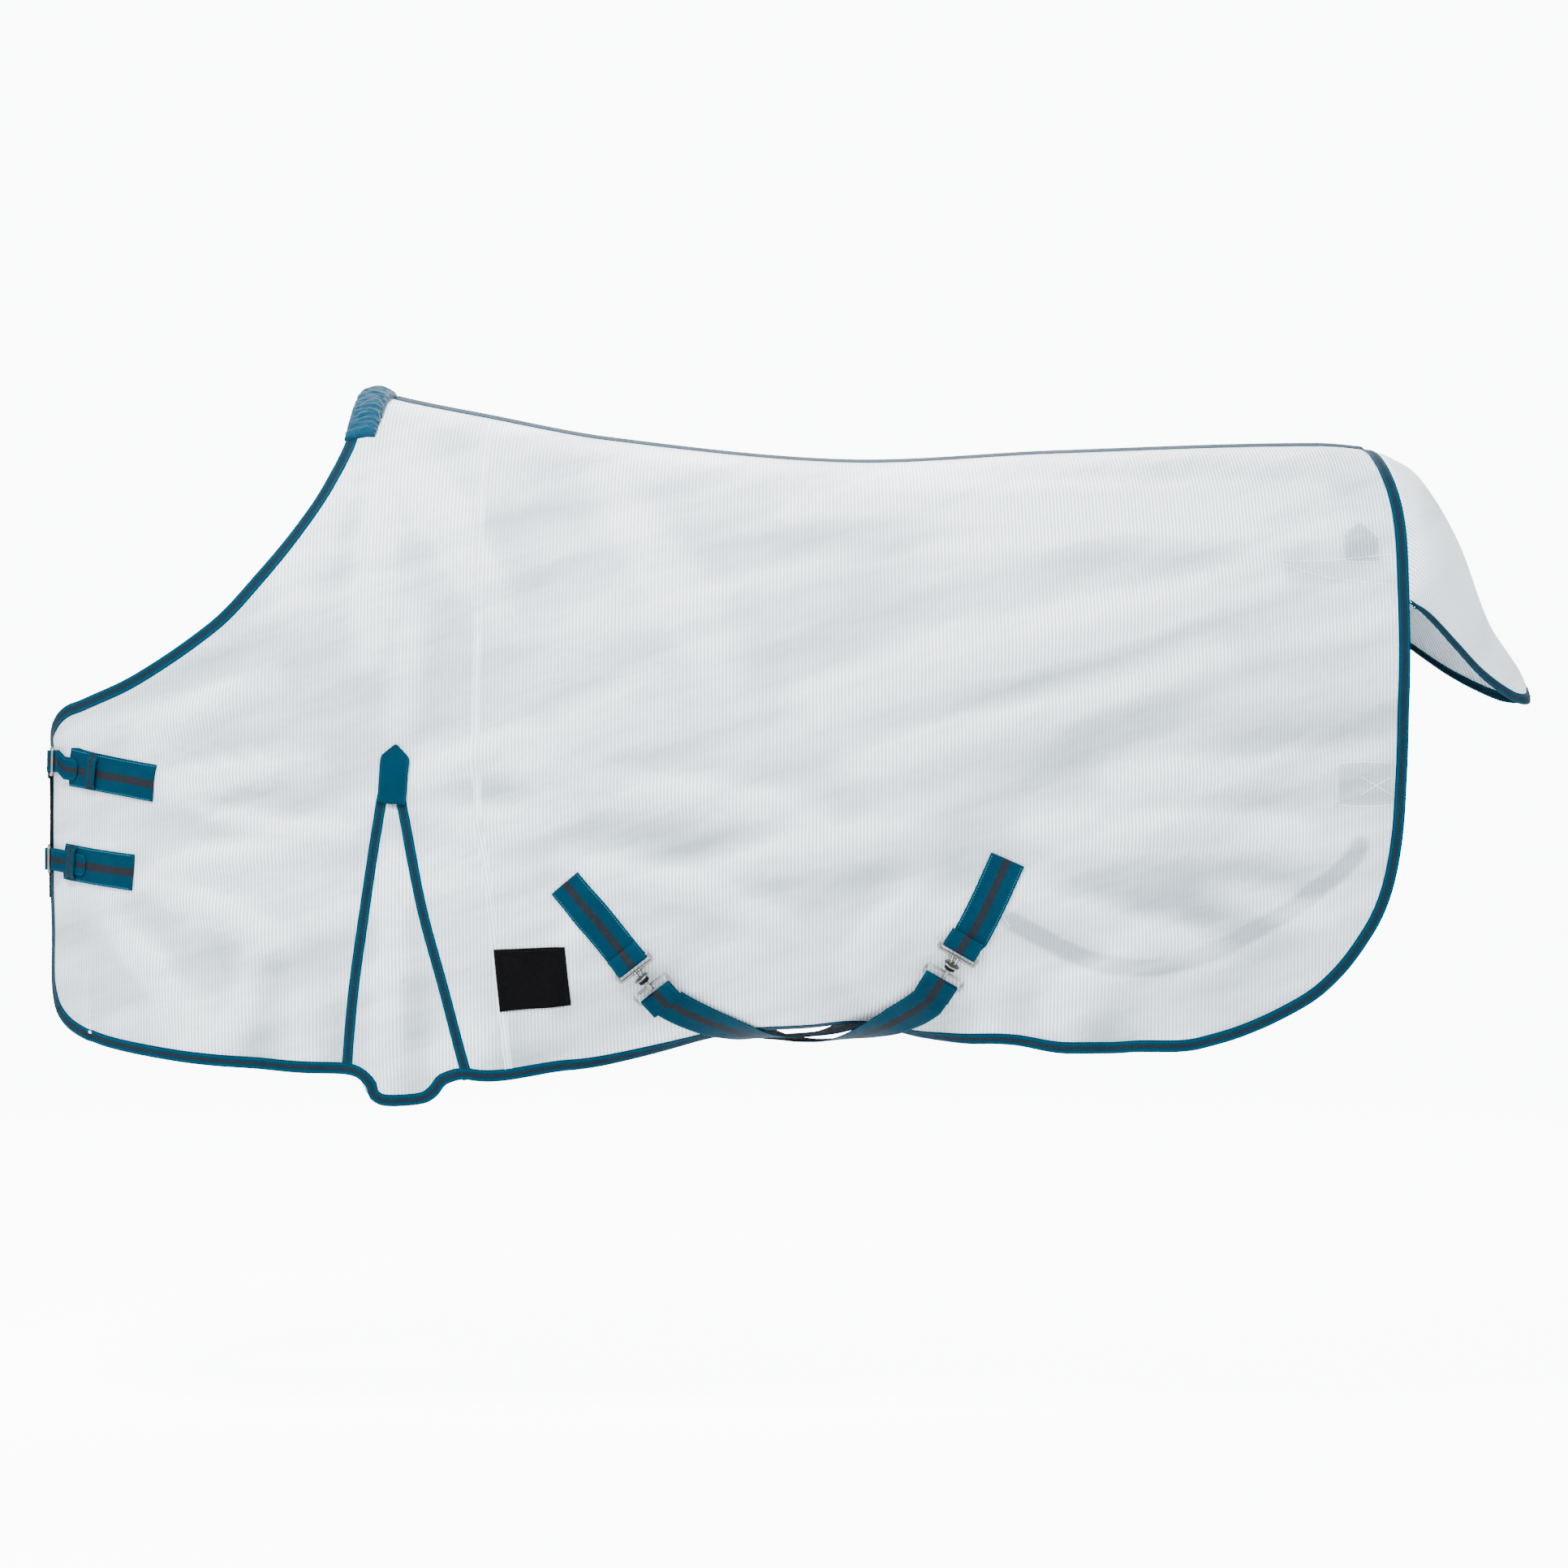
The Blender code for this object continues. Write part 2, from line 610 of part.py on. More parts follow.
def shoulder_panel(name):
    """The cloth in front of the shoulder seam, slit for the gusset."""
    half = GUSSET_TAPE / 2 + GAP
    front = to_hem(lattice_line(GUSSET_FRONT, -0.02, -half))
    rear = to_hem(lattice_line(GUSSET_REAR, -0.02, half))
    top = min(front[0][1], rear[0][1])
    for line in (front, rear):
        if line[0][1] > top + 0.005:
            line.insert(0, (line[0][0], top))
    outline = [(pad_end, SPINE_ROWS + GAP_J), (pad_end, PAD_DROP + GAP_J)]
    outline += [(front_i(j, GAP), j) for j in ramp(PAD_DROP + GAP_J, ROWS) if j < ROWS - 0.5]
    bottom_left = front_i(ROWS, GAP)
    outline += [(i, hem_j(i, GAP)) for i in ramp(bottom_left, front[-1][0])][:-1]
    outline += front[::-1] + rear
    outline += [(i, hem_j(i, GAP)) for i in ramp(rear[-1][0], seam[-1][0] - GAP_I)][1:-1]
    outline += [(i - GAP_I, j) for i, j in seam[::-1]]
    return tile(name, outline, -HALF_CLOTH, HALF_CLOTH, MESH)


def body_panel(name):
    """The cloth behind the shoulder seam."""
    corner = rear_i(ROWS, GAP), hem_j(COLS, GAP)
    outline = list(seam)
    outline += [(i, hem_j(i, GAP)) for i in ramp(seam[-1][0], corner[0])][1:-1] + [corner]
    rows = [j for j in ramp(corner[1], SPINE_ROWS + GAP_J)][1:]
    outline += [(rear_i(j, GAP), j) for j in rows]
    return tile(name, outline, -HALF_CLOTH, HALF_CLOTH, MESH)


def gusset(name):
    half = GUSSET_TAPE / 2 + GAP
    front, rear = lattice_line(GUSSET_FRONT, 0, half), lattice_line(GUSSET_REAR, 0, -half)
    front, rear = to_hem(front), to_hem(rear)
    hem = [(i, hem_j(i, GAP)) for i in ramp(front[-1][0], rear[-1][0])][1:-1]
    return tile(name, front + hem + rear[::-1], -HALF_CLOTH, HALF_CLOTH, MESH)


def gusset_tape(name, points):
    half = GUSSET_TAPE / 2
    left, right = (to_hem(lattice_line(points, 0, shift)) for shift in (-half, half))
    return tile(name, left + right[::-1], -HALF_TAPE, HALF_TAPE, TEAL)


def drawn_tile(name, points, inner, outer, surface):
    return tile(name, [index_of(x, z) for x, z in points], inner, outer, surface)


for side_build, side_name in ((neck_tape, "neck_binding_near"), (hem_tape, "hem_binding_near"),
                              (shoulder_panel, "shoulder_panel_near"),
                              (body_panel, "body_panel_near"), (gusset, "gusset_near")):
    both(side_name, side_build)
both("gusset_binding_front_near", gusset_tape, GUSSET_FRONT)
both("gusset_binding_rear_near", gusset_tape, GUSSET_REAR)

GUSSET_PATCH = [(0.060, -0.516), (0.037, -0.526), (0.027, -0.588), (0.031, -0.594),
                (0.070, -0.598), (0.079, -0.536)]
patch_low = HALF_TAPE + GAP
both("gusset_patch_near", drawn_tile, GUSSET_PATCH, patch_low, patch_low + WEB_THICK, WEBBING)
LABEL = [(0.198, -0.802), (0.198, -0.891), (0.300, -0.882), (0.298, -0.797)]
label_low = HALF_CLOTH + GAP
drawn_tile("label_patch", LABEL, label_low, label_low + 0.0015, BLACK)
TAIL_PATCH = [(1.386, -0.258), (1.386, -0.222), (1.412, -0.196), (1.436, -0.222), (1.438, -0.258)]
both("tail_patch_near", drawn_tile, TAIL_PATCH, -label_low - WEB_THICK, -label_low, MESH)

rear_start = rear_i(0, GAP)
tile("spine_binding", [(i, SPINE_ROWS) for i in ramp(pad_end, rear_start)]
     + [(i, -SPINE_ROWS) for i in ramp(rear_start, pad_end)], -HALF_TAPE, HALF_TAPE, TEAL)
tile("withers_pad", [(0, PAD_DROP), (0, -PAD_DROP), (PAD_COLS, -PAD_DROP), (PAD_COLS, PAD_DROP)],
     -0.008, PAD_THICK - 0.008, FLEECE)


def slope(points):
    """A function that runs straight between (a, value) points, level past the ends."""
    def level(a):
        for (a0, v0), (a1, v1) in zip(points, points[1:]):
            if a <= a1:
                return v0 + (v1 - v0) * max(a - a0, 0) / (a1 - a0)
        return points[-1][1]
    return level


# ---- Chest straps -------------------------------------------------------------------------------
# The frame of each buckle lies on the cloth: x to the rear along the strap, z out of the cloth.

THIN = 0.0015  # the chest webbing
ON_CLOTH = HALF_CLOTH + LIFT + THIN / 2
BAR_UP, BAR_TILT = 0.0078, math.radians(11)
CHEST_LINES = {
    "upper": Line([(-0.459, -0.545), (-0.4245, -0.549), (-0.360, -0.559), (-0.292, -0.570)]),
    "lower": Line([(-0.466, -0.677), (-0.441, -0.681), (-0.385, -0.689), (-0.325, -0.696)]),
}
KEEPER_AT = {"upper": 0.092, "lower": 0.062}
KEEPER_LONG, KEEPER_THICK = 0.018, 0.0014
buckle_frames = {}


def over_chest(q, b, z, off):
    """A point q round the chest from its middle, b above height z and off out of the body."""
    v = around(plan(abs(q))[0], z - b)
    return body(q, v) + outward(q, v) * off


def chest_strap(level):
    line = CHEST_LINES[level]
    frame = line.frame(0.0)
    buckle_frames[level] = frame
    fold = 0.0018 + FIT + THIN / 2
    path = [(0.027, ON_CLOTH + THIN + 0.0006), (0.0105, ON_CLOTH + THIN + 0.0006),
            (0.0045, BAR_UP + 0.0011)]
    path += bend(0, BAR_UP, fold, 78, 270) + [(0.010, ON_CLOTH + 0.0006), (0.019, ON_CLOTH)]
    narrow = rigid(frame, path, BILLET, THIN)
    wide = line.run(0.044, line.length, ON_CLOTH, CHEST_WEB, THIN)
    neck = line.run(0.032, 0.040, ON_CLOTH, BILLET, THIN)
    return ribbon(f"chest_strap_{level}", narrow + neck + wide, WEBBING)


def chest_buckle(level):
    wide = BILLET + 2 * BUCKLE_PLAY
    loop = wire_loop(rounded(CHEST_LOOP - 2 * WIRE, wide - 2 * WIRE, 0.005), WIRE)
    half = wide / 2 - WIRE
    bar = rod((0, -half, 0), (0, half, 0), 0.0018)
    frame = buckle_frames[level] @ Matrix.Translation((0, 0, BAR_UP))
    frame = frame @ Matrix.Rotation(-BAR_TILT, 4, "Y")
    return joined(f"chest_buckle_{level}", STEEL, frame, loop, bar)


def chest_billet(level):
    """From the far side's patch, over the chest, through the buckle and under the keeper."""
    line, frame = CHEST_LINES[level], buckle_frames[level]
    far = mirror_sections(line.run(line.length, 0.044, ON_CLOTH, CHEST_WEB, THIN))
    far += mirror_sections(line.run(0.040, 0.0, 0.0038, BILLET, THIN))
    middle_q, height = along(line.points[0][0]), line.points[0][1] * DEEP
    across = []
    for k in range(1, 12):
        q = middle_q * (k / 6 - 1)
        if q > middle_q - 0.020:
            break
        rows = [BILLET * (0.5 - n / 4) for n in range(5)]
        across.append([tuple(over_chest(q, b, height, off) for off in (0.0046, 0.0031))
                       for b in rows])
    over = ON_CLOTH + 2 * THIN + 0.0014
    path = [(-0.0132, BAR_UP + 0.0015), (-0.0035, BAR_UP + 0.0056), (0.0012, BAR_UP + 0.0054),
            (0.0055, BAR_UP + 0.0026), (0.0108, over), (0.027, over)]
    near = rigid(frame, path, BILLET, THIN)
    rest = slope([(0.034, over - 0.0002), (0.046, ON_CLOTH + THIN + 0.0007)])
    near += line.run(0.034, KEEPER_AT[level] + 0.020, rest, BILLET, THIN)
    return ribbon(f"chest_billet_{level}", far + across + near, WEBBING)


def chest_keeper(level):
    """An arched loop of webbing sewn across the patch, with the billet's end inside it."""
    line = CHEST_LINES[level]
    low = ON_CLOTH + THIN + 0.0007
    profile = [(-0.0258, low), (-0.0212, low), (-0.0178, low + 0.0032), (0, low + 0.0038),
               (0.0178, low + 0.0032), (0.0212, low), (0.0258, low)]
    sections = []
    for k in range(3):
        a = KEEPER_AT[level] + KEEPER_LONG * (k / 2 - 0.5)
        sections.append([(line.cloth(a, b, up + KEEPER_THICK / 2),
                          line.cloth(a, b, up - KEEPER_THICK / 2)) for b, up in profile])
    return ribbon(f"chest_keeper_{level}", sections, WEBBING)


for chest_level in ("upper", "lower"):
    for piece in (chest_strap, chest_buckle, chest_billet, chest_keeper):
        piece(chest_level)


def chest_lining(name):
    """The black strip between the two front edges."""
    bm, wide, tall = bmesh.new(), 8, 6
    reach, top, low = FRONT_GAP - 2.5 * GAP, -0.548, -0.735
    grid = [[[bm.verts.new(over_chest(reach * (n / wide * 2 - 1), 0, (top + (low - top) * m / tall)
                                      * DEEP, off)) for off in (0.0012, -0.0012)]
             for n in range(wide + 1)] for m in range(tall + 1)]
    for m in range(tall):
        for n in range(wide):
            for side in (0, 1):
                bm.faces.new([grid[m + u][n + w][side] for u, w in ((0, 0), (0, 1), (1, 1), (1, 0))])
    rim = [(0, n) for n in range(wide)] + [(m, wide) for m in range(tall)]
    rim += [(tall, n) for n in range(wide, 0, -1)] + [(m, 0) for m in range(tall, 0, -1)]
    for (m, n), (u, w) in zip(rim, rim[1:] + rim[:1]):
        bm.faces.new([grid[m][n][0], grid[u][w][0], grid[u][w][1], grid[m][n][1]])
    return make(name, bm, BLACK)


chest_lining("chest_lining")

# ---- Surcingles ---------------------------------------------------------------------------------
# The frame of each clip lies on the cloth at the hook's webbing bar: x down the strap, z out.

SEWN = HALF_CLOTH + LIFT + WEB_THICK / 2
HOOK_UP, STEM_UP, EYE_UP = 0.0088, 0.0164, 0.0102
RAIL = 0.0022  # radius of the clips' wire
FRAME_WIDE, FRAME_LONG, CORNER = WEB + 0.0108, 0.0155, 0.0026
EYE_FRONT, EYE_BACK = 0.0385, 0.0540
STRAP_OFF = 0.008
SURCINGLES = {
    "front": Line([(0.296, -0.706), (0.342, -0.762), (0.387, -0.818), (0.404, -0.838)]),
    "rear": Line([(0.910, -0.673), (0.882, -0.736), (0.850, -0.798), (0.834, -0.821)]),
}
HOOK_AT = 0.004  # before the end of each line
clips = {key: line.frame(line.length - HOOK_AT - 0.02) for key, line in SURCINGLES.items()}
BELLY = {
    "front": [(0.440, -0.874), (0.480, -0.896), (0.530, -0.917), (0.580, -0.931), (0.625, None),
              (0.670, -0.930), (0.720, -0.915), (0.770, -0.892), (0.806, -0.862), (0.838, -0.817)],
    "rear": [(0.806, -0.868), (0.770, -0.892), (0.720, -0.914), (0.670, -0.930), (0.625, None),
             (0.580, -0.931), (0.530, -0.916), (0.480, -0.893), (0.440, -0.868), (0.404, -0.832)],
}
GIRTH = 0.4  # metres to one v, near enough to space points along a belly strap


def surcingle_patch(name):
    line = SURCINGLES[name]
    end = line.length - HOOK_AT - 0.02
    fold = RAIL + FIT + WEB_THICK / 2
    path = [(-0.012, SEWN + 0.0014)] + bend(0, HOOK_UP, fold, -90, 90)
    path += [(-0.004, HOOK_UP + fold - 0.0004), (-0.014, SEWN + WEB_THICK + 0.0026),
             (-0.024, SEWN + WEB_THICK + 0.0018)]
    sections = line.run(0.0, end - 0.028, SEWN, WEB) + rigid(clips[name], path, WEB)
    return ribbon(f"surcingle_patch_{name}", sections, WEBBING)


def surcingle_hook(name):
    """A webbing frame, a neck, a thumb disc, and a stem that ends in a hook."""
    loop = wire_loop([p + Vector((FRAME_LONG / 2 - RAIL, 0, 0)) for p in
                      rounded(FRAME_LONG - 2 * RAIL, FRAME_WIDE - 2 * RAIL, CORNER)], RAIL)
    rise, front = STEM_UP - HOOK_UP, FRAME_LONG - 2 * RAIL
    neck = slab((front - 0.001, -0.0075, -0.0016), (front + 0.0105, 0.0075, 0.0016))
    tilt = Matrix.Translation((front, 0, 0)) @ Matrix.Rotation(-math.atan2(rise, 0.0105), 4, "Y")
    bmesh.ops.transform(neck, matrix=tilt @ Matrix.Translation((-front, 0, 0)), verts=neck.verts)
    at = front + 0.0085
    disc = rod((at, 0, rise), (at + 0.0028, 0, rise), DISC_RADIUS, 24)
    stem_end = at + 0.0124
    stem = rod((at + 0.001, 0, rise), (stem_end, 0, rise), STUD_RADIUS, 16)
    turn_radius = STEM_UP - EYE_UP
    path = [(stem_end - 0.001, rise)] + bend(EYE_FRONT, EYE_UP - HOOK_UP, turn_radius, 90, -40, 8)
    hook = bmesh.new()
    rings = []
    for k, (x, z) in enumerate(path):
        before, after = path[max(k - 1, 0)], path[min(k + 1, len(path) - 1)]
        up = Vector((-(after[1] - before[1]), 0, after[0] - before[0])).normalized()
        size = 0.0021
        rings.append([hook.verts.new(Vector((x, 0, z)) + up * (size * math.cos(t))
                                     + Vector((0, size * 1.6 * math.sin(t), 0)))
                      for t in (2 * math.pi * n / 10 for n in range(10))])
    for ring, after in zip(rings, rings[1:]):
        for n in range(10):
            m = (n + 1) % 10
            hook.faces.new((ring[n], ring[m], after[m], after[n]))
    hook.faces.new(rings[0])
    hook.faces.new(rings[-1])
    frame = clips[name] @ Matrix.Translation((0, 0, HOOK_UP))
    return joined(f"surcingle_hook_{name}", STEEL, frame, loop, neck, disc, stem, hook)


def rubber_ring(name):
    at = FRAME_LONG - 2 * RAIL + 0.0085 + 0.0028 + GAP
    bm, bore, wide = bmesh.new(), STUD_RADIUS + 0.0003, 0.0062
    profile = [(0, bore), (0, RING_RADIUS - 0.001), (0.001, RING_RADIUS),
               (wide - 0.001, RING_RADIUS), (wide, RING_RADIUS - 0.001), (wide, bore)]
    rings = [[bm.verts.new((x, r * math.cos(t), r * math.sin(t))) for x, r in profile]
             for t in (2 * math.pi * n / 20 for n in range(20))]
    for ring, after in zip(rings, rings[1:] + rings[:1]):
        for n in range(6):
            m = (n + 1) % 6
            bm.faces.new((ring[n], ring[m], after[m], after[n]))
    return make(f"rubber_ring_{name}", bm, RUBBER,
                clips[name] @ Matrix.Translation((at, 0, STEM_UP)))


def surcingle_eye(name):
    long = EYE_BACK - EYE_FRONT
    loop = wire_loop([p - Vector((long / 2, 0, 0)) for p in
                      rounded(long, FRAME_WIDE - 2 * RAIL, CORNER)], RAIL)
    frame = clips[name] @ Matrix.Translation((EYE_BACK, 0, EYE_UP))
    return make(f"surcingle_eye_{name}", loop, STEEL, frame)


def round_girth(x, v, off):
    """A point on the body and the way out there, where v passes 2 to reach the far side."""
    q, far = along(x), v > 2
    v = 4 - v if far else v
    point, normal = body(q, v), outward(q, min(v, 1.99))
    if v > 1.985:
        point.y, normal = 0, Vector((0, 0, -1))
    flip = Vector((1, -1 if far else 1, 1))
    return (point + normal * off) * flip, normal * flip


belly_frames = {}


def belly_strap(name):
    """From the clip's eye, under the belly and up to where it is sewn on the far side."""
    frame, other = clips[name], SURCINGLES["rear" if name == "front" else "front"]
    fold = RAIL + FIT + WEB_THICK / 2
    path = [(EYE_BACK + 0.026, EYE_UP + 0.0010), (EYE_BACK + 0.010, EYE_UP + 0.0024)]
    path += bend(EYE_BACK, EYE_UP, fold, 80, 270)
    path += [(EYE_BACK + 0.010, EYE_UP - 0.0034), (EYE_BACK + 0.022, EYE_UP - 0.0040)]
    places = []
    for k, (x, z) in enumerate(BELLY[name]):
        v = 2.0 if z is None else around(real_x(x), z * DEEP)
        places.append((real_x(x), GIRTH * (4 - v if k > 4 else v)))
    count = 26
    sections = []
    for k in range(count + 1):
        x, across = through(places, k / count)
        lift = STRAP_OFF
        if name == "rear":
            lift += 0.007 * max(0.0, 1 - abs(across / GIRTH - 2) / 0.35) ** 0.5
        lift += 0.003 * max(0.0, 1 - abs(k - 17) / 3) + 0.004 * min(max(x - 0.69, 0) / 0.06, 1)
        lift -= (STRAP_OFF - SEWN - 0.002) * max(0.0, k / count * 6 - 5)
        spot = round_girth(x, across / GIRTH, lift)
        ahead = round_girth(*[c / d for c, d in zip(through(places, min(k / count + 0.01, 1)),
                                                    (1, GIRTH))], lift)[0]
        behind = round_girth(*[c / d for c, d in zip(through(places, max(k / count - 0.01, 0)),
                                                     (1, GIRTH))], lift)[0]
        way = (ahead - behind).normalized()
        side = spot[1].cross(way).normalized()
        turned = Matrix((way, side, way.cross(side))).transposed().to_4x4()
        turned.translation = spot[0]
        if k == 17:
            belly_frames[name] = turned
            sections += rigid(turned, [(-0.014, 0), (0.014, 0)], WEB)
        else:
            sections.append(level_section(turned))
    anchor = mirror_sections(other.run(other.length - 0.016, 0.0, SEWN + 0.0001, WEB))
    return ribbon(f"belly_strap_{name}", rigid(frame, path, WEB) + sections + anchor, WEBBING)


def level_section(frame):
    across = [WEB * (n / 4 - 0.5) for n in range(5)]
    return [tuple(frame @ Vector((0, b, s * WEB_THICK / 2)) for s in (1, -1)) for b in across]


def slider(name, frame, strap_wide):
    """A flat metal loop that slides on a strap, with room for the webbing in it."""
    bore_wide, bore_tall, wall = strap_wide + 0.0014, WEB_THICK + 0.0016, 0.0022
    outer = slab((-0.008, -bore_wide / 2 - wall, -bore_tall / 2 - wall),
                 (0.008, bore_wide / 2 + wall, bore_tall / 2 + wall))
    inner = slab((-0.02, -bore_wide / 2, -bore_tall / 2), (0.02, bore_wide / 2, bore_tall / 2))
    return joined(name, STEEL, frame, outer, cut=(inner,))


for place_name in ("front", "rear"):
    for piece in (surcingle_patch, surcingle_hook, rubber_ring, surcingle_eye, belly_strap):
        piece(place_name)
    slider(f"belly_slider_{place_name}", belly_frames[place_name], WEB)

# ---- Leg straps, inside the cloth ---------------------------------------------------------------
# The frame of each clip lies on the cloth at the ring's bar: x down to the strap, z out.

LEG = Line([(1.423, -0.540), (1.411, -0.604), (1.399, -0.662), (1.355, -0.706), (1.290, -0.752),
            (1.205, -0.797), (1.120, -0.822), (1.020, -0.811), (0.908, -0.755)])
RING_AT, CLIP_UP = 0.064, -0.0125
leg_frame = LEG.frame(RING_AT)
RING_WIRE, RING_LONG, RING_WIDE = 0.0017, 0.018, 0.034
HOOK_TURN, BODY_AT, BODY_END = 0.0056, 0.035, 0.047
LOOP_AT, LOOP_LONG = 0.0525, 0.0095


def leg_patch(name):
    """A patch inside the cloth, narrowing to a loop that holds the ring."""
    inside = -(HALF_CLOTH + LIFT + THIN / 2)
    fold = RING_WIRE + FIT + THIN / 2
    wide = LEG.run(0.004, RING_AT - 0.030, inside, 0.052, THIN)
    narrow = [(-0.022, inside - 0.0012), (-0.008, CLIP_UP + fold + 0.0006)]
    narrow += bend(0, CLIP_UP, fold, 90, -90)
    narrow += [(-0.008, CLIP_UP - fold + 0.0006), (-0.022, inside - THIN - 0.0030),
               (-0.032, inside - THIN - 0.0012)]
    return ribbon(name, wide + rigid(leg_frame, narrow, LEG_WEB, THIN), MESH)


def leg_ring(name):
    loop = wire_loop([p + Vector((RING_LONG / 2, 0, 0)) for p in
                      rounded(RING_LONG, RING_WIDE, 0.0035)], RING_WIRE)
    return make(name, loop, STEEL, leg_frame @ Matrix.Translation((0, 0, CLIP_UP)))


def leg_clip(name):
    """A swivel snap: a barrel with a hook whose mouth the gate closes."""
    barrel = rod((BODY_AT, 0, 0), (BODY_END, 0, 0), 0.0062, 20)
    cavity = rod((BODY_AT + 0.003, 0, 0), (BODY_END - 0.0028, 0, 0), 0.0045, 20)
    bore = rod((BODY_END - 0.004, 0, 0), (BODY_END + 0.002, 0, 0), 0.0028, 20)
    path = bend(RING_LONG, 0, HOOK_TURN, 40, 270, 12) + [(0.028, -HOOK_TURN), (0.0365, -0.0040)]
    hook, rings, size = bmesh.new(), [], 0.0019
    for k, (x, z) in enumerate(path):
        before, after = path[max(k - 1, 0)], path[min(k + 1, len(path) - 1)]
        up = Vector((-(after[1] - before[1]), 0, after[0] - before[0])).normalized()
        rings.append([hook.verts.new(Vector((x, 0, z)) + up * (size * math.cos(t))
                                     + Vector((0, size * 1.3 * math.sin(t), 0)))
                      for t in (2 * math.pi * n / 10 for n in range(10))])
    for ring, after in zip(rings, rings[1:]):
        for n in range(10):
            m = (n + 1) % 10
            hook.faces.new((ring[n], ring[m], after[m], after[n]))
    hook.faces.new(rings[0])
    hook.faces.new(rings[-1])
    frame = leg_frame @ Matrix.Translation((0, 0, CLIP_UP))
    return joined(name, STEEL, frame, barrel, hook, cut=(cavity, bore))


GATE_PIN = (BODY_AT - 0.0022, 0.0040)


def leg_gate(name):
    tip = RING_LONG + HOOK_TURN * math.cos(math.radians(40)) + 0.0022
    bar = rod((tip - GATE_PIN[0], 0, 0), (0.0016, 0, 0), 0.0016, 10)
    frame = leg_frame @ Matrix.Translation((GATE_PIN[0], 0, CLIP_UP + GATE_PIN[1]))
    return make(name, bar, STEEL, frame)


def leg_eye(name):
    """The strap's end fitting: a loop, and the headed stem that the clip turns on."""
    loop = wire_loop([p + Vector((LOOP_AT + LOOP_LONG / 2, 0, 0)) for p in
                      rounded(LOOP_LONG, LEG_WEB + 0.005, 0.003)], 0.0018)
    stem = rod((BODY_END - 0.0050, 0, 0), (LOOP_AT, 0, 0), 0.0023, 16)
    head = rod((BODY_END - 0.0080, 0, 0), (BODY_END - 0.0034, 0, 0), 0.0040, 16)
    frame = leg_frame @ Matrix.Translation((0, 0, CLIP_UP))
    return joined(name, STEEL, frame, loop, stem, head)


leg_frames = {}


def leg_strap(name):
    """From the eye's loop round under the thigh to where it is sewn at the flank."""
    bar, fold = LOOP_AT + LOOP_LONG, 0.0018 + FIT + THIN / 2
    path = [(bar + 0.024, CLIP_UP + 0.0020), (bar + 0.009, CLIP_UP + 0.0022)]
    path += bend(bar, CLIP_UP, fold, 80, 270)
    path += [(bar + 0.010, CLIP_UP - 0.0016), (bar + 0.024, CLIP_UP - 0.0006)]
    start, end = RING_AT + bar + 0.040, LEG.length - 0.002
    sewn = -(HALF_CLOTH + LIFT + THIN / 2)
    level = slope([(start, CLIP_UP), (end - 0.22, CLIP_UP), (end - 0.05, sewn), (end, sewn)])
    middle = start + 0.150
    frame = LEG.frame(middle) @ Matrix.Translation((0, 0, level(middle)))
    leg_frames["slider"] = frame
    sections = LEG.run(start, middle - 0.034, level, LEG_WEB, THIN, 0.022)
    sections += rigid(frame, [(-0.018, 0), (0.018, 0)], LEG_WEB, THIN)
    sections += LEG.run(middle + 0.034, end, level, LEG_WEB, THIN, 0.022)
    return ribbon(name, rigid(leg_frame, path, LEG_WEB, THIN) + sections, WEBBING)


for side_name, side_build in (("leg_patch", leg_patch), ("leg_ring", leg_ring),
                              ("leg_clip", leg_clip), ("leg_gate", leg_gate),
                              ("leg_eye", leg_eye), ("leg_strap", leg_strap)):
    both(f"{side_name}_near", side_build)
both("leg_slider_near", slider, leg_frames["slider"], LEG_WEB)

# ---- Tail flap ----------------------------------------------------------------------------------

RIDGE = [(1.462, -0.080), (1.482, -0.084), (1.530, -0.110), (1.590, -0.202), (1.638, -0.322),
         (1.690, -0.404), (1.704, -0.440)]
FREE = [(1.704, 0.0, -0.440), (1.694, -0.030, -0.452), (1.671, -0.058, -0.452),
        (1.615, -0.110, -0.428), (1.567, -0.165, -0.392), (1.505, -0.245, -0.352)]
DOCK = (1.458, -0.080)
FLAP_ROWS = index_of(1.476, -0.315)[1]
SIDEWAYS, DOWNWARDS = 30, 9
FLAP_GAP = 0.0012


def stretched(x, z):
    """A drawn point of the flap at its real size."""
    away = (x - DOCK[0]) * FLAP_REACH / 0.246, (z - DOCK[1]) * FLAP_DROP / 0.372
    return DOCK[0] * LONG + away[0], DOCK[1] * DEEP + away[1]


def flap_point(u, w):
    """On the flap: u from -1 near to 1 far, and w from the rear edge to the free edge."""
    side, span = (-1 if u < 0 else 1), abs(u)
    held = cloth(COLS, -u * FLAP_ROWS)
    held += (held - cloth(COLS - 0.05, -u * FLAP_ROWS)).normalized() * FLAP_GAP
    x, y, z = through(FREE, span)
    x, z = stretched(x, z)
    free = Vector((x, side * abs(y), z))
    tip_x, tip_z = stretched(*RIDGE[-1])
    ridge_x, ridge_z = stretched(*through(RIDGE, w))
    start_x, start_z = stretched(*RIDGE[0])
    rise = Vector((ridge_x - start_x - (tip_x - start_x) * w, 0,
                   ridge_z - start_z - (tip_z - start_z) * w))
    swell = Vector((0.10, side * 0.35, 0.10)) * math.sin(math.pi * w) * span * (1 - span) * 0.30
    return held * (1 - w) + free * w + rise * (1 - span) ** 1.3 + swell


def flap_normal(u, w):
    step = 0.01
    u, w = min(max(u, step - 1), 1 - step), min(max(w, step), 1 - step)
    across = flap_point(u + step, w) - flap_point(u - step, w)
    return across.cross(flap_point(u, w + step) - flap_point(u, w - step)).normalized()


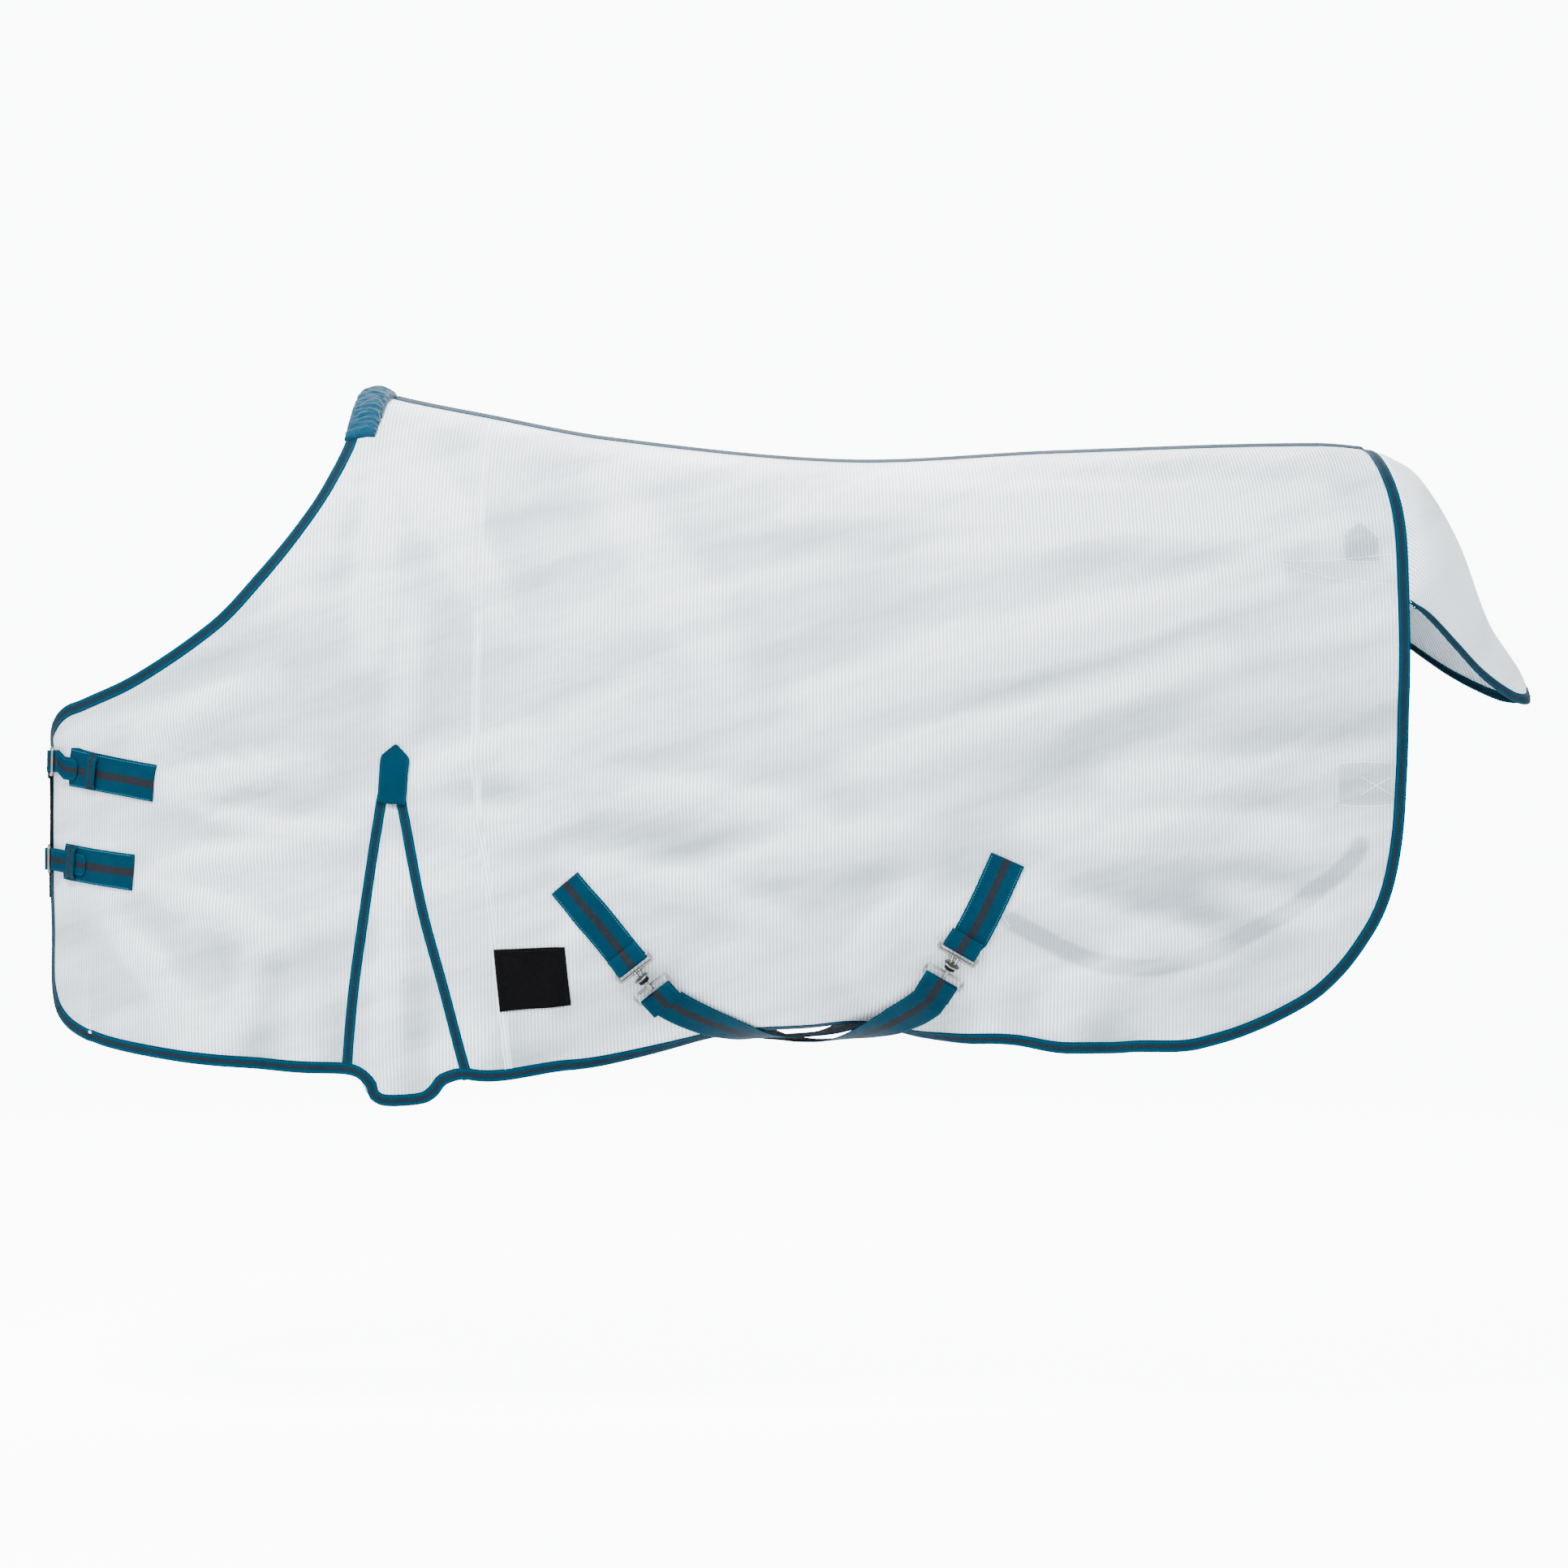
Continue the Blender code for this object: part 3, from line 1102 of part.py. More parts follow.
def flap_sheet(name, start, end, half, surface):
    """A strip of the flap; start and end give w at each u."""
    bm, grid = bmesh.new(), []
    steps = DOWNWARDS if surface is MESH else 2
    for n in range(SIDEWAYS + 1):
        u = n / SIDEWAYS * 2 - 1
        line = []
        for m in range(steps + 1):
            w = start(u) + (end(u) - start(u)) * m / steps
            point, normal = flap_point(u, w), flap_normal(u, w)
            line.append([bm.verts.new(point + normal * half), bm.verts.new(point - normal * half)])
        grid.append(line)
    for n in range(SIDEWAYS):
        for m in range(steps):
            for side in (0, 1):
                bm.faces.new([grid[n + a][m + b][side] for a, b in ((0, 0), (1, 0), (1, 1), (0, 1))])
    rim = [(n, 0) for n in range(SIDEWAYS)] + [(SIDEWAYS, m) for m in range(steps)]
    rim += [(n, steps) for n in range(SIDEWAYS, 0, -1)] + [(0, m) for m in range(steps, 0, -1)]
    for (n, m), (a, b) in zip(rim, rim[1:] + rim[:1]):
        bm.faces.new([grid[n][m][0], grid[a][b][0], grid[a][b][1], grid[n][m][1]])
    return make(name, bm, surface)


def taped(width):
    """w at a width in from the free edge, at u."""
    return lambda u: 1 - width / (flap_point(u, 1) - flap_point(u, 0.9)).length * 0.1


flap_sheet("tail_flap", lambda u: 0.0, taped(EDGE_TAPE + GAP), HALF_CLOTH, MESH)
flap_sheet("tail_flap_binding", taped(EDGE_TAPE), lambda u: 1.0, HALF_TAPE, TEAL)
bpy.context.view_layer.update()
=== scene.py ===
"""Looks for the horse fly sheet: ribbed mesh cloth, bound edges, webbing, fleece and fittings.

It runs as an add-on: each group of pieces has an operator, and main() calls them in order.
Everything is in metres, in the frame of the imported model: +X to the tail, -Y to the near side.
"""

import json
import math

import bmesh
import bpy
import numpy as np
from bpy.props import FloatProperty, FloatVectorProperty, PointerProperty
from mathutils import Matrix, Vector


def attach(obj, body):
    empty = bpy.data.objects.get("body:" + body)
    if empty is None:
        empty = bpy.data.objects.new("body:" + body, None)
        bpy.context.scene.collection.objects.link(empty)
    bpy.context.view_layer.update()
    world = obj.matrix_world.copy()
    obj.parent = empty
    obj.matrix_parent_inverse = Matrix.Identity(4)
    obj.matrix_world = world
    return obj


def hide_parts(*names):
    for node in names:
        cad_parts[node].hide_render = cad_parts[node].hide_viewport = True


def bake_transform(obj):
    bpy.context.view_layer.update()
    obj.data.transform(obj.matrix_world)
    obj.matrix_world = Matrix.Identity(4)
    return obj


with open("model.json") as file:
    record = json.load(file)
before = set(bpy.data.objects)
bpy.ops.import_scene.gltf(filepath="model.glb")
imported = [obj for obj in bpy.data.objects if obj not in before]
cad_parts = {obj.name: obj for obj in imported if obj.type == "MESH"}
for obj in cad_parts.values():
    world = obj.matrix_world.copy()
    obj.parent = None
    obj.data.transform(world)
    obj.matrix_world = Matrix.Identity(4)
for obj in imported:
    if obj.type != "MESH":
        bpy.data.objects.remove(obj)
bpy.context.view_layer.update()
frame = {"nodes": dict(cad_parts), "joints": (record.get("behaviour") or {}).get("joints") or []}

bl_info = {
    "name": "Horse Fly Sheet",
    "version": (1, 0, 0),
    "blender": (4, 5, 0),
    "location": "View3D > Sidebar > Fly Sheet",
    "description": "Dresses the packed fly sheet in cloth, webbing, fleece and metal",
    "category": "Object",
}

# The horse that the sheet is cut for, as in the CAD model.
BACK_LENGTH, CHEST_REACH, BODY_WIDTH, BODY_DEPTH = 1.458, 0.480, 0.610, 0.932
CHEST_RADIUS, CHEST_TURN = 0.115, math.radians(48)
LONG, WIDE, DEEP = BACK_LENGTH / 1.458, BODY_WIDTH / 0.610, BODY_DEPTH / 0.932
EDGE_TAPE, GUSSET_TAPE, SPINE_TAPE, FRONT_GAP = 0.0165, 0.015, 0.046, 0.045
WEB, WEB_THICK, BILLET, CHEST_WEB, LEG_WEB, THIN = 0.050, 0.0020, 0.032, 0.052, 0.025, 0.0015
TOPLINE = [(-0.48, -0.205), (-0.20, -0.080), (0.0, 0.008), (0.032, -0.004), (0.16, -0.030),
           (0.342, -0.064), (0.69, -0.097), (1.0, -0.084), (1.386, -0.073), (1.50, -0.084)]
HALF_WIDTH = [(-0.10, 0.220), (0.0, 0.223), (0.16, 0.243), (0.342, 0.272), (0.69, 0.305),
              (1.0, 0.300), (1.25, 0.283), (1.386, 0.268), (1.50, 0.252)]
WIDEST = [(-0.48, -0.520), (0.0, -0.500), (0.5, -0.510), (0.9, -0.510), (1.50, -0.460)]
BELOW = [(-0.48, 0.80), (0.10, 0.80), (0.30, 0.60), (0.50, 0.442), (0.64, 0.420),
         (0.78, 0.436), (1.0, 0.68), (1.20, 0.86), (1.50, 0.90)]
FRONT_EDGE = [(-0.012, 0.008), (-0.0255, -0.072), (-0.052, -0.140), (-0.094, -0.207),
              (-0.150, -0.277), (-0.211, -0.340), (-0.3235, -0.413), (-0.409, -0.447),
              (-0.438, -0.456), (-0.457, -0.470), (None, -0.494), (None, -0.515), (None, -0.650),
              (None, -0.780), (None, -0.850), (-0.4655, -0.882), (-0.455, -0.905)]
HEM = [(-0.455, -0.905), (-0.430, -0.927), (-0.380, -0.945), (-0.290, -0.959), (-0.160, -0.971),
       (-0.030, -0.979), (-0.004, -0.983), (0.011, -0.996), (0.016, -1.012), (0.032, -1.022),
       (0.062, -1.024), (0.094, -1.020), (0.112, -1.008), (0.126, -0.991), (0.156, -0.984),
       (0.356, -0.963), (0.47, -0.935), (0.54, -0.923), (0.64, -0.920), (0.76, -0.921),
       (0.90, -0.932), (1.077, -0.943), (1.180, -0.937), (1.240, -0.920), (1.295, -0.896),
       (1.345, -0.867), (1.382, -0.833), (1.408, -0.800)]
REAR_EDGE = [(1.458, -0.080), (1.466, -0.108), (1.477, -0.197), (1.476, -0.320),
             (1.473, -0.480), (1.468, -0.607), (1.462, -0.668), (1.450, -0.722), (1.433, -0.763),
             (1.408, -0.800)]
SEAM = [(0.172, -0.030), (0.172, -0.300), (0.172, -0.600), (0.190, -0.730), (0.214, -0.984)]
APEX = -0.588
GUSSET_FRONT = [(0.036, APEX), (0.012, -0.740), (-0.006, -0.860), (-0.018, -0.980)]
GUSSET_REAR = [(0.062, APEX), (0.092, -0.740), (0.124, -0.860), (0.156, -0.984)]
UPPER, LOWER = 2 / 2.3, 2 / 2.6


def curve(points):
    """A smooth function through (x, value) points that takes arrays."""
    xs, ys = np.array(points, float).T
    last = len(xs) - 1
    index = np.arange(last + 1)
    after, before = np.minimum(index + 1, last), np.maximum(index - 1, 0)
    lean = (ys[after] - ys[before]) / (xs[after] - xs[before])

    def at(x):
        x = np.clip(x, xs[0], xs[-1])
        k = np.clip(np.searchsorted(xs, x) - 1, 0, last - 1)
        span = xs[k + 1] - xs[k]
        f = (x - xs[k]) / span
        rise = lean[k] * (f - 2 * f**2 + f**3) + lean[k + 1] * (f**3 - f**2)
        return ys[k] + (ys[k + 1] - ys[k]) * (3 * f**2 - 2 * f**3) + rise * span
    return at


def spaced(points, scale=1.0):
    """A function of 0 to 1 along a smooth curve through points, spaced by their distances."""
    points = np.array(points, float)
    gaps = np.linalg.norm(np.diff(points * scale, axis=0), axis=1)
    ends = np.r_[0, np.cumsum(gaps)]
    parts = [curve(list(zip(ends, column))) for column in points.T]
    return lambda f: np.stack([part(np.asarray(f) * ends[-1]) for part in parts], -1)


topline, half_width, widest_at, below_at = map(curve, (TOPLINE, HALF_WIDTH, WIDEST, BELOW))
SHOULDER = HALF_WIDTH[0][1] * WIDE
FLANK_RADIUS = (SHOULDER - CHEST_RADIUS * math.sin(CHEST_TURN)) / (1 - math.sin(CHEST_TURN))
CHEST_ARC = CHEST_RADIUS * CHEST_TURN
BOW_ARC = CHEST_ARC + FLANK_RADIUS * (math.pi / 2 - CHEST_TURN)
CHEST_X = -CHEST_REACH + CHEST_RADIUS * (1 - math.cos(CHEST_TURN))
BOW_X = CHEST_X + FLANK_RADIUS * math.cos(CHEST_TURN)


def plan(q):
    """x and half width at q, the distance round the chest and along the body."""
    first = np.clip(q / CHEST_RADIUS, 0, CHEST_TURN)
    second = CHEST_TURN + np.clip((q - CHEST_ARC) / FLANK_RADIUS, 0, math.pi / 2 - CHEST_TURN)
    straight = BOW_X + q - BOW_ARC
    x = np.where(q < CHEST_ARC, -CHEST_REACH + CHEST_RADIUS * (1 - np.cos(first)),
                 np.where(q < BOW_ARC, CHEST_X + FLANK_RADIUS * (math.cos(CHEST_TURN)
                                                                 - np.cos(second)), straight))
    half = np.where(q < CHEST_ARC, CHEST_RADIUS * np.sin(first),
                    np.where(q < BOW_ARC, SHOULDER - FLANK_RADIUS * (1 - np.sin(second)),
                             half_width(np.maximum(straight / LONG, HALF_WIDTH[0][0])) * WIDE))
    return x, half


def along(x):
    """q at x: the other way round from plan."""
    x = np.asarray(x, float)
    first = CHEST_RADIUS * np.arccos(np.clip(1 - (x + CHEST_REACH) / CHEST_RADIUS, -1, 1))
    turn = np.arccos(np.clip(math.cos(CHEST_TURN) - (x - CHEST_X) / FLANK_RADIUS, -1, 1))
    second = CHEST_ARC + FLANK_RADIUS * (turn - CHEST_TURN)
    return np.where(x < CHEST_X, first, np.where(x < BOW_X, second, BOW_ARC + x - BOW_X))


def heights(x):
    """Heights of the topline, the widest part and the belly at x."""
    top, widest, below = (part(x / LONG) * DEEP for part in (topline, widest_at, below_at))
    return top, widest, widest - below


def around(x, z):
    """v at x and height z: 0 on the topline, 1 at the widest, 2 under the belly."""
    top, widest, belly = heights(x)
    over = np.arccos(np.clip((z - widest) / (top - widest), 0, 1) ** (1 / UPPER))
    under = np.arcsin(np.clip((widest - z) / (widest - belly), 0, 1) ** (1 / LOWER))
    return np.where(z > widest, over, math.pi / 2 + under) * 2 / math.pi


def body(q, v):
    """Points on the horse: q below 0 and v below 0 or above 2 reach the far side."""
    q, v = np.broadcast_arrays(np.asarray(q, float), np.asarray(v, float))
    far = (q < 0) ^ (v < 0) ^ (v > 2)
    v = np.where(v > 2, 4 - v, np.abs(v))
    x, half = plan(np.abs(q))
    top, widest, belly = heights(x)
    turn = np.clip(np.where(v < 1, v, v - 1), 0, 1) * math.pi / 2
    y = np.where(v < 1, np.sin(turn) ** UPPER, np.maximum(np.cos(turn), 0) ** LOWER)
    over, under = np.maximum(np.cos(turn), 0) ** UPPER, np.sin(turn) ** LOWER
    z = np.where(v < 1, widest + (top - widest) * over, widest - (widest - belly) * under)
    return np.stack([x, np.where(far, 1, -1) * half * y, z], -1)


def unit(vectors):
    return vectors / np.maximum(np.linalg.norm(vectors, axis=-1, keepdims=True), 1e-12)


def outward(q, v, step=0.004):
    """The way out of the horse at q and v."""
    q, v = np.asarray(q, float), np.asarray(v, float)
    by_v, by_q = body(q, v + step) - body(q, v - step), body(q + step, v) - body(q - step, v)
    return unit(np.cross(by_v, by_q))


def drawn(points):
    """Outline points as (q, v). No x means the front edge."""
    q = np.array([FRONT_GAP if x is None else along(x * LONG) for x, _ in points])
    return q, around(plan(q)[0], np.array([z for _, z in points]) * DEEP)


def outline(*lines):
    """One smooth curve through several outlines end to end, as a function of 0 to 1 for each."""
    q, v = drawn([point for line in lines for point in line])
    ends = np.r_[0, np.cumsum(np.linalg.norm(np.diff(body(q, v), axis=0), axis=1))]
    keep = np.r_[True, np.diff(ends) > 1e-6]
    parts = [curve(list(zip(ends[keep], column[keep]))) for column in (q, v)]
    marks = ends[np.cumsum([0] + [len(line) for line in lines[:-1]])]
    marks = np.r_[marks, ends[-1]]

    def piece_of(start, end):
        return lambda f: np.stack([part(start + np.asarray(f) * (end - start)) for part in parts])
    return [piece_of(a, b) for a, b in zip(marks, marks[1:])]


front_edge, hem_edge, back_up = outline(FRONT_EDGE, HEM, REAR_EDGE[::-1])
rear_edge = lambda f: back_up(1 - np.asarray(f))
CORNERS = [edge(np.array(end)) for end in (0.0, 1.0) for edge in (front_edge, rear_edge)]


def spread(s, t):
    """(q, v) at s from front edge to rear edge and t from spine to hem."""
    front, rear, hem = front_edge(t), rear_edge(t), hem_edge(s)
    start, end, low, back = (corner.reshape(2, *([1] * np.ndim(s))) for corner in CORNERS)
    spine = (end * s + start * (1 - s)) * np.array([1, 0]).reshape(2, *([1] * np.ndim(s)))
    found = front * (1 - s) + rear * s + spine * (1 - t) + hem * t
    found -= (start * (1 - s) + end * s) * (1 - t) + (low * (1 - s) + back * s) * t
    return found[0], np.maximum(found[1], 0)


# ---- Folds --------------------------------------------------------------------------------------
# Each fold is a soft ridge along a line, (x, z) to (x, z), with its width and its height.

FOLDS = [
    ((-0.30, -0.565), (-0.06, -0.545), 0.022, 0.0075),
    ((-0.26, -0.590), (0.00, -0.640), 0.020, 0.006),
    ((-0.28, -0.685), (-0.03, -0.640), 0.020, 0.0065),
    ((-0.29, -0.720), (-0.10, -0.800), 0.024, 0.006),
    ((-0.37, -0.760), (-0.25, -0.900), 0.028, 0.006),
    ((-0.32, -0.500), (-0.12, -0.420), 0.024, 0.006),
    ((-0.02, -0.120), (-0.10, -0.300), 0.030, 0.006),
    ((0.03, -0.120), (0.02, -0.400), 0.028, 0.007),
    ((0.06, -0.100), (0.20, -0.330), 0.034, 0.007),
    ((0.08, -0.330), (0.06, -0.500), 0.024, 0.0055),
    ((0.08, -0.560), (0.24, -0.500), 0.024, 0.006),
    ((0.10, -0.610), (0.30, -0.610), 0.026, 0.006),
    ((0.24, -0.560), (0.64, -0.610), 0.030, 0.0085),
    ((0.30, -0.680), (0.60, -0.760), 0.026, 0.007),
    ((0.46, -0.700), (0.80, -0.640), 0.030, 0.007),
    ((0.64, -0.450), (1.28, -0.270), 0.036, 0.010),
    ((0.70, -0.530), (1.20, -0.400), 0.032, 0.007),
    ((0.62, -0.180), (1.36, -0.160), 0.030, 0.006),
    ((0.80, -0.240), (1.38, -0.215), 0.024, 0.005),
    ((0.95, -0.640), (1.38, -0.640), 0.030, 0.008),
    ((0.93, -0.720), (1.20, -0.800), 0.028, 0.007),
    ((1.06, -0.560), (1.42, -0.530), 0.026, 0.007),
    ((1.20, -0.720), (1.36, -0.760), 0.026, 0.006),
    ((0.70, -0.830), (0.80, -0.700), 0.026, 0.006),
    ((0.42, -0.860), (0.56, -0.790), 0.024, 0.005),
    ((0.25, -0.920), (0.34, -0.700), 0.022, 0.004),
    ((-0.18, -0.930), (-0.14, -0.780), 0.024, 0.005),
    ((0.05, -0.660), (0.045, -0.960), 0.020, 0.007),
    ((0.36, -0.160), (0.52, -0.420), 0.040, 0.005),
    ((0.98, -0.870), (1.14, -0.780), 0.026, 0.006),
]
FITTINGS = [(0.400, -0.836, 0.075), (0.838, -0.817, 0.075), (-0.462, -0.545, 0.06),
            (-0.468, -0.677, 0.06), (1.405, -0.640, 0.09)]


FOLD_GAIN, HOLLOW_SHARE, HOLLOW_REACH = 1.7, 0.35, 2.2
REST_GAP = 0.0004


def settle(q, v, far):
    """How far the cloth stands out of the body at q and v."""
    x, z = plan(q)[0] / LONG, body(q, v)[..., 2] / DEEP
    lift = np.zeros_like(x)
    for n, (start, end, wide, tall) in enumerate(FOLDS):
        (x0, z0), (x1, z1) = start, end
        if far:
            x0, x1, z0 = x0 + 0.02 * math.sin(n * 2.1), x1 + 0.03 * math.cos(n * 1.7), z0 - 0.012
        run = np.array([x1 - x0, z1 - z0])
        f = ((x - x0) * run[0] + (z - z0) * run[1]) / (run @ run)
        inside = np.clip(f, 0, 1)
        bow = 0.012 * np.sin(inside * math.pi) * math.sin(n * 1.3)
        away = np.hypot(x - x0 - run[0] * inside, z - z0 - run[1] * inside + bow)
        fade = np.sin(np.clip(0.12 + 0.76 * inside, 0, 1) * math.pi)
        ridge = np.exp(-((away / wide) ** 2))
        hollow = np.exp(-((away / wide / HOLLOW_REACH) ** 2))
        lift += FOLD_GAIN * tall * fade * (ridge - HOLLOW_SHARE * hollow)
    lift += 0.0016 * np.sin(9.1 * x + 14 * z + 1.5 * np.sin(5 * z)) * np.sin(17 * z - 6 * x)
    low = np.clip((-0.80 - z) / 0.16, 0, 1)
    lift += low * 0.0035 * np.sin(31 * x + 4 * np.sin(7 * x)) * (x > -0.40)
    top = np.clip((np.abs(v) - 0.06) / 0.22, 0, 1)
    for x0, z0, reach in FITTINGS:
        top = top * (1 - 0.9 * np.exp(-(((x - x0) ** 2 + (z - z0) ** 2) / reach**2) ** 2))
    return lift * top + REST_GAP


def draped(q, v, far=False, off=0.0):
    """The cloth's middle at q, v, moved off out of it."""
    spot = body(q, v) + outward(q, np.maximum(np.abs(v), 1e-3) * np.where(v < 0, -1, 1)) * (
        settle(q, v, far) + off)[..., None]
    return spot * np.array([1, -1 if far else 1, 1])


def skin(s, t, far=False, off=0.0):
    return draped(*spread(s, t), far, off)


def facing_out(q, v, far=False, step=0.003):
    """The way out of the folded cloth."""
    by_q = draped(q + step, v, far) - draped(q - step, v, far)
    by_v = draped(q, v + 2 * step, far) - draped(q, v - 2 * step, far)
    return unit(np.cross(by_v, by_q)) * (-1 if far else 1)


def place_of(points):
    """s and t of drawn points, by Newton's method."""
    q, v = drawn(points)
    s, t = np.full(len(q), 0.5), np.full(len(q), 0.5)
    for _ in range(24):
        here, step = spread(s, t), 1e-4
        by_s = [(b - a) / step for a, b in zip(here, spread(s + step, t))]
        by_t = [(b - a) / step for a, b in zip(here, spread(s, t + step))]
        miss = q - here[0], v - here[1]
        det = by_s[0] * by_t[1] - by_s[1] * by_t[0]
        det = np.where(np.abs(det) < 1e-9, 1e-9, det)
        s = np.clip(s + np.clip((miss[0] * by_t[1] - miss[1] * by_t[0]) / det, -0.2, 0.2), 1e-5, 1)
        t = np.clip(t + np.clip((by_s[0] * miss[1] - by_s[1] * miss[0]) / det, -0.2, 0.2), 0, 1)
    return s, t


def path_on(points, step=0.006):
    """q and v along a drawn line, a station every step or so."""
    points = np.array(points, float)
    length = np.linalg.norm(np.diff(points, axis=0), axis=1).sum()
    stations = spaced(points)(np.linspace(0, 1, max(int(length / step), 3)))
    return drawn([tuple(p) for p in stations])


# ---- Meshes -------------------------------------------------------------------------------------


def piece(name, verts, faces, surface, uvs=None, body_name="sheet"):
    """An object of plain mesh data that rides on a body. uvs has one pair for each vertex."""
    mesh = bpy.data.meshes.new(name)
    mesh.from_pydata([tuple(v) for v in verts], [], [tuple(f) for f in faces])
    if uvs is not None:
        layer = mesh.uv_layers.new(name="cut")
        corners = np.empty(len(mesh.loops), np.int32)
        mesh.loops.foreach_get("vertex_index", corners)
        layer.data.foreach_set("uv", np.asarray(uvs, np.float32)[corners].ravel())
    bm = bmesh.new()
    bm.from_mesh(mesh)
    bmesh.ops.recalc_face_normals(bm, faces=bm.faces)
    bm.to_mesh(mesh)
    bm.free()
    mesh.polygons.foreach_set("use_smooth", [True] * len(mesh.polygons))
    mesh.materials.append(surface)
    made = bpy.data.objects.new(name, mesh)
    bpy.context.scene.collection.objects.link(made)
    if body_name:
        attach(made, body_name)
    return made


def grid_faces(rows, cols, closed=False):
    """Quads between rows of points, each row cols long and wrapping round if closed."""
    n, m = np.meshgrid(np.arange(rows - 1), np.arange(cols if closed else cols - 1), indexing="ij")
    after = (m + 1) % cols
    quads = [n * cols + m, n * cols + after, (n + 1) * cols + after, (n + 1) * cols + m]
    return np.stack(quads, -1).reshape(-1, 4).tolist()


def join(parts):
    """One (verts, faces, uvs) from several."""
    verts, faces, uvs, count = [], [], [], 0
    for part_verts, part_faces, part_uvs in parts:
        faces += [[k + count for k in face] for face in part_faces]
        verts.append(part_verts)
        uvs.append(part_uvs)
        count += len(part_verts)
    return np.concatenate(verts), faces, np.concatenate(uvs)


# A strap's columns across its width, and how much of its thickness each has.
EDGE = np.array([-1, -0.985, -0.93, -0.8, -0.45, 0, 0.45, 0.8, 0.93, 0.985, 1])
FULL = np.array([0.25, 0.7, 1, 1, 1, 1, 1, 1, 1, 0.7, 0.25])


def loft(rings, across):
    """A closed strap from its rings, each (top points, bottom points), with metres as its UV."""
    tops, bottoms = (np.array([ring[k] for ring in rings]) for k in (0, 1))
    middles = tops.mean(1)
    run = np.r_[0, np.cumsum(np.linalg.norm(np.diff(middles, axis=0), axis=1))]
    verts = np.concatenate([tops, bottoms[:, ::-1]], 1)
    cols = verts.shape[1]
    widths = np.array([across] * len(rings)) if np.ndim(across) == 1 else np.array(across)
    round_it = np.concatenate([widths, widths[:, ::-1]], 1)
    uvs = np.stack([round_it, np.repeat(run[:, None], cols, 1)], -1)
    faces = grid_faces(len(rings), cols, closed=True)
    faces += [list(range(cols)), list(range((len(rings) - 1) * cols, len(rings) * cols))]
    return verts.reshape(-1, 3), faces, uvs.reshape(-1, 2)


def lofted(name, rings, across, look, slot, *nodes, body_name="sheet"):
    """A closed strap of one material, which stands for CAD nodes."""
    verts, faces, uvs = loft(rings, across)
    made = piece(name, verts, faces, LOOKS[look], uvs, body_name)
    if nodes:
        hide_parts(*nodes)
    return made


def strip_rings(q, v, left, right, off, thick, far=False):
    """Rings of a strip on the cloth between two distances to the sides of a line of stations."""
    step = 0.003
    by_q = (body(q + step, v) - body(q - step, v)) / (2 * step)
    by_v = (body(q, v + step) - body(q, v - step)) / (2 * step)
    way = unit(np.gradient(body(q, v), axis=0))
    side = unit(np.cross(unit(np.cross(by_v, by_q)), way))
    for _ in range(4):
        side[1:-1] = unit(side[:-2] + 2 * side[1:-1] + side[2:])
    spans = np.broadcast_to(left, q.shape)[:, None], np.broadcast_to(right, q.shape)[:, None]
    across = (spans[0] + spans[1]) / 2 + (spans[1] - spans[0]) / 2 * EDGE
    dots = [[(a * b).sum(-1) for b in (by_q, by_v)] for a in (by_q, by_v)]
    det = dots[0][0] * dots[1][1] - dots[0][1] ** 2
    along_q, along_v = (side * by_q).sum(-1), (side * by_v).sum(-1)
    move_q = (along_q * dots[1][1] - along_v * dots[0][1]) / det
    move_v = (along_v * dots[0][0] - along_q * dots[0][1]) / det
    all_q = q[:, None] + across * move_q[:, None]
    all_v = v[:, None] + across * move_v[:, None]
    spots, outs = draped(all_q, all_v, far), facing_out(all_q, all_v, far)
    level = np.broadcast_to(off, q.shape)[:, None, None]
    half = (thick / 2 * FULL)[None, :, None]
    return list(zip(spots + outs * (level + half), spots + outs * (level - half))), across


def frame_rings(matrix, path, width, thick):
    """Rings of webbing along a path of (x, z) in a rigid frame, straight across it."""
    path = np.array(path, float)
    way = unit(np.gradient(path, axis=0))
    rot, spot = np.array(matrix.to_3x3()), np.array(matrix.translation)
    rings = []
    for (x, z), (dx, dz) in zip(path, way):
        pair = []
        for sign in (1, -1):
            lift = thick / 2 * FULL * sign
            local = np.stack([x - dz * lift, EDGE * width / 2, z + dx * lift], -1)
            pair.append(local @ rot.T + spot)
        rings.append(tuple(pair))
    return rings


def bend(x, z, radius, start, end, turns=12):
    """Points round part of a circle, from start to end in degrees."""
    angles = np.radians(np.linspace(start, end, turns + 1))
    return [(x + radius * math.cos(a), z + radius * math.sin(a)) for a in angles]


def rounded_path(points, rounds=2):
    """A path with its corners cut round."""
    points = np.array(points, float)
    for _ in range(rounds):
        cut = [points[0]]
        for a, b in zip(points, points[1:]):
            cut += [a * 0.75 + b * 0.25, a * 0.25 + b * 0.75]
        points = np.array(cut + [points[-1]])
    return [tuple(p) for p in points]


def mirror(verts):
    """The same points on the horse's other side."""
    return np.asarray(verts) * np.array([1, -1, 1])


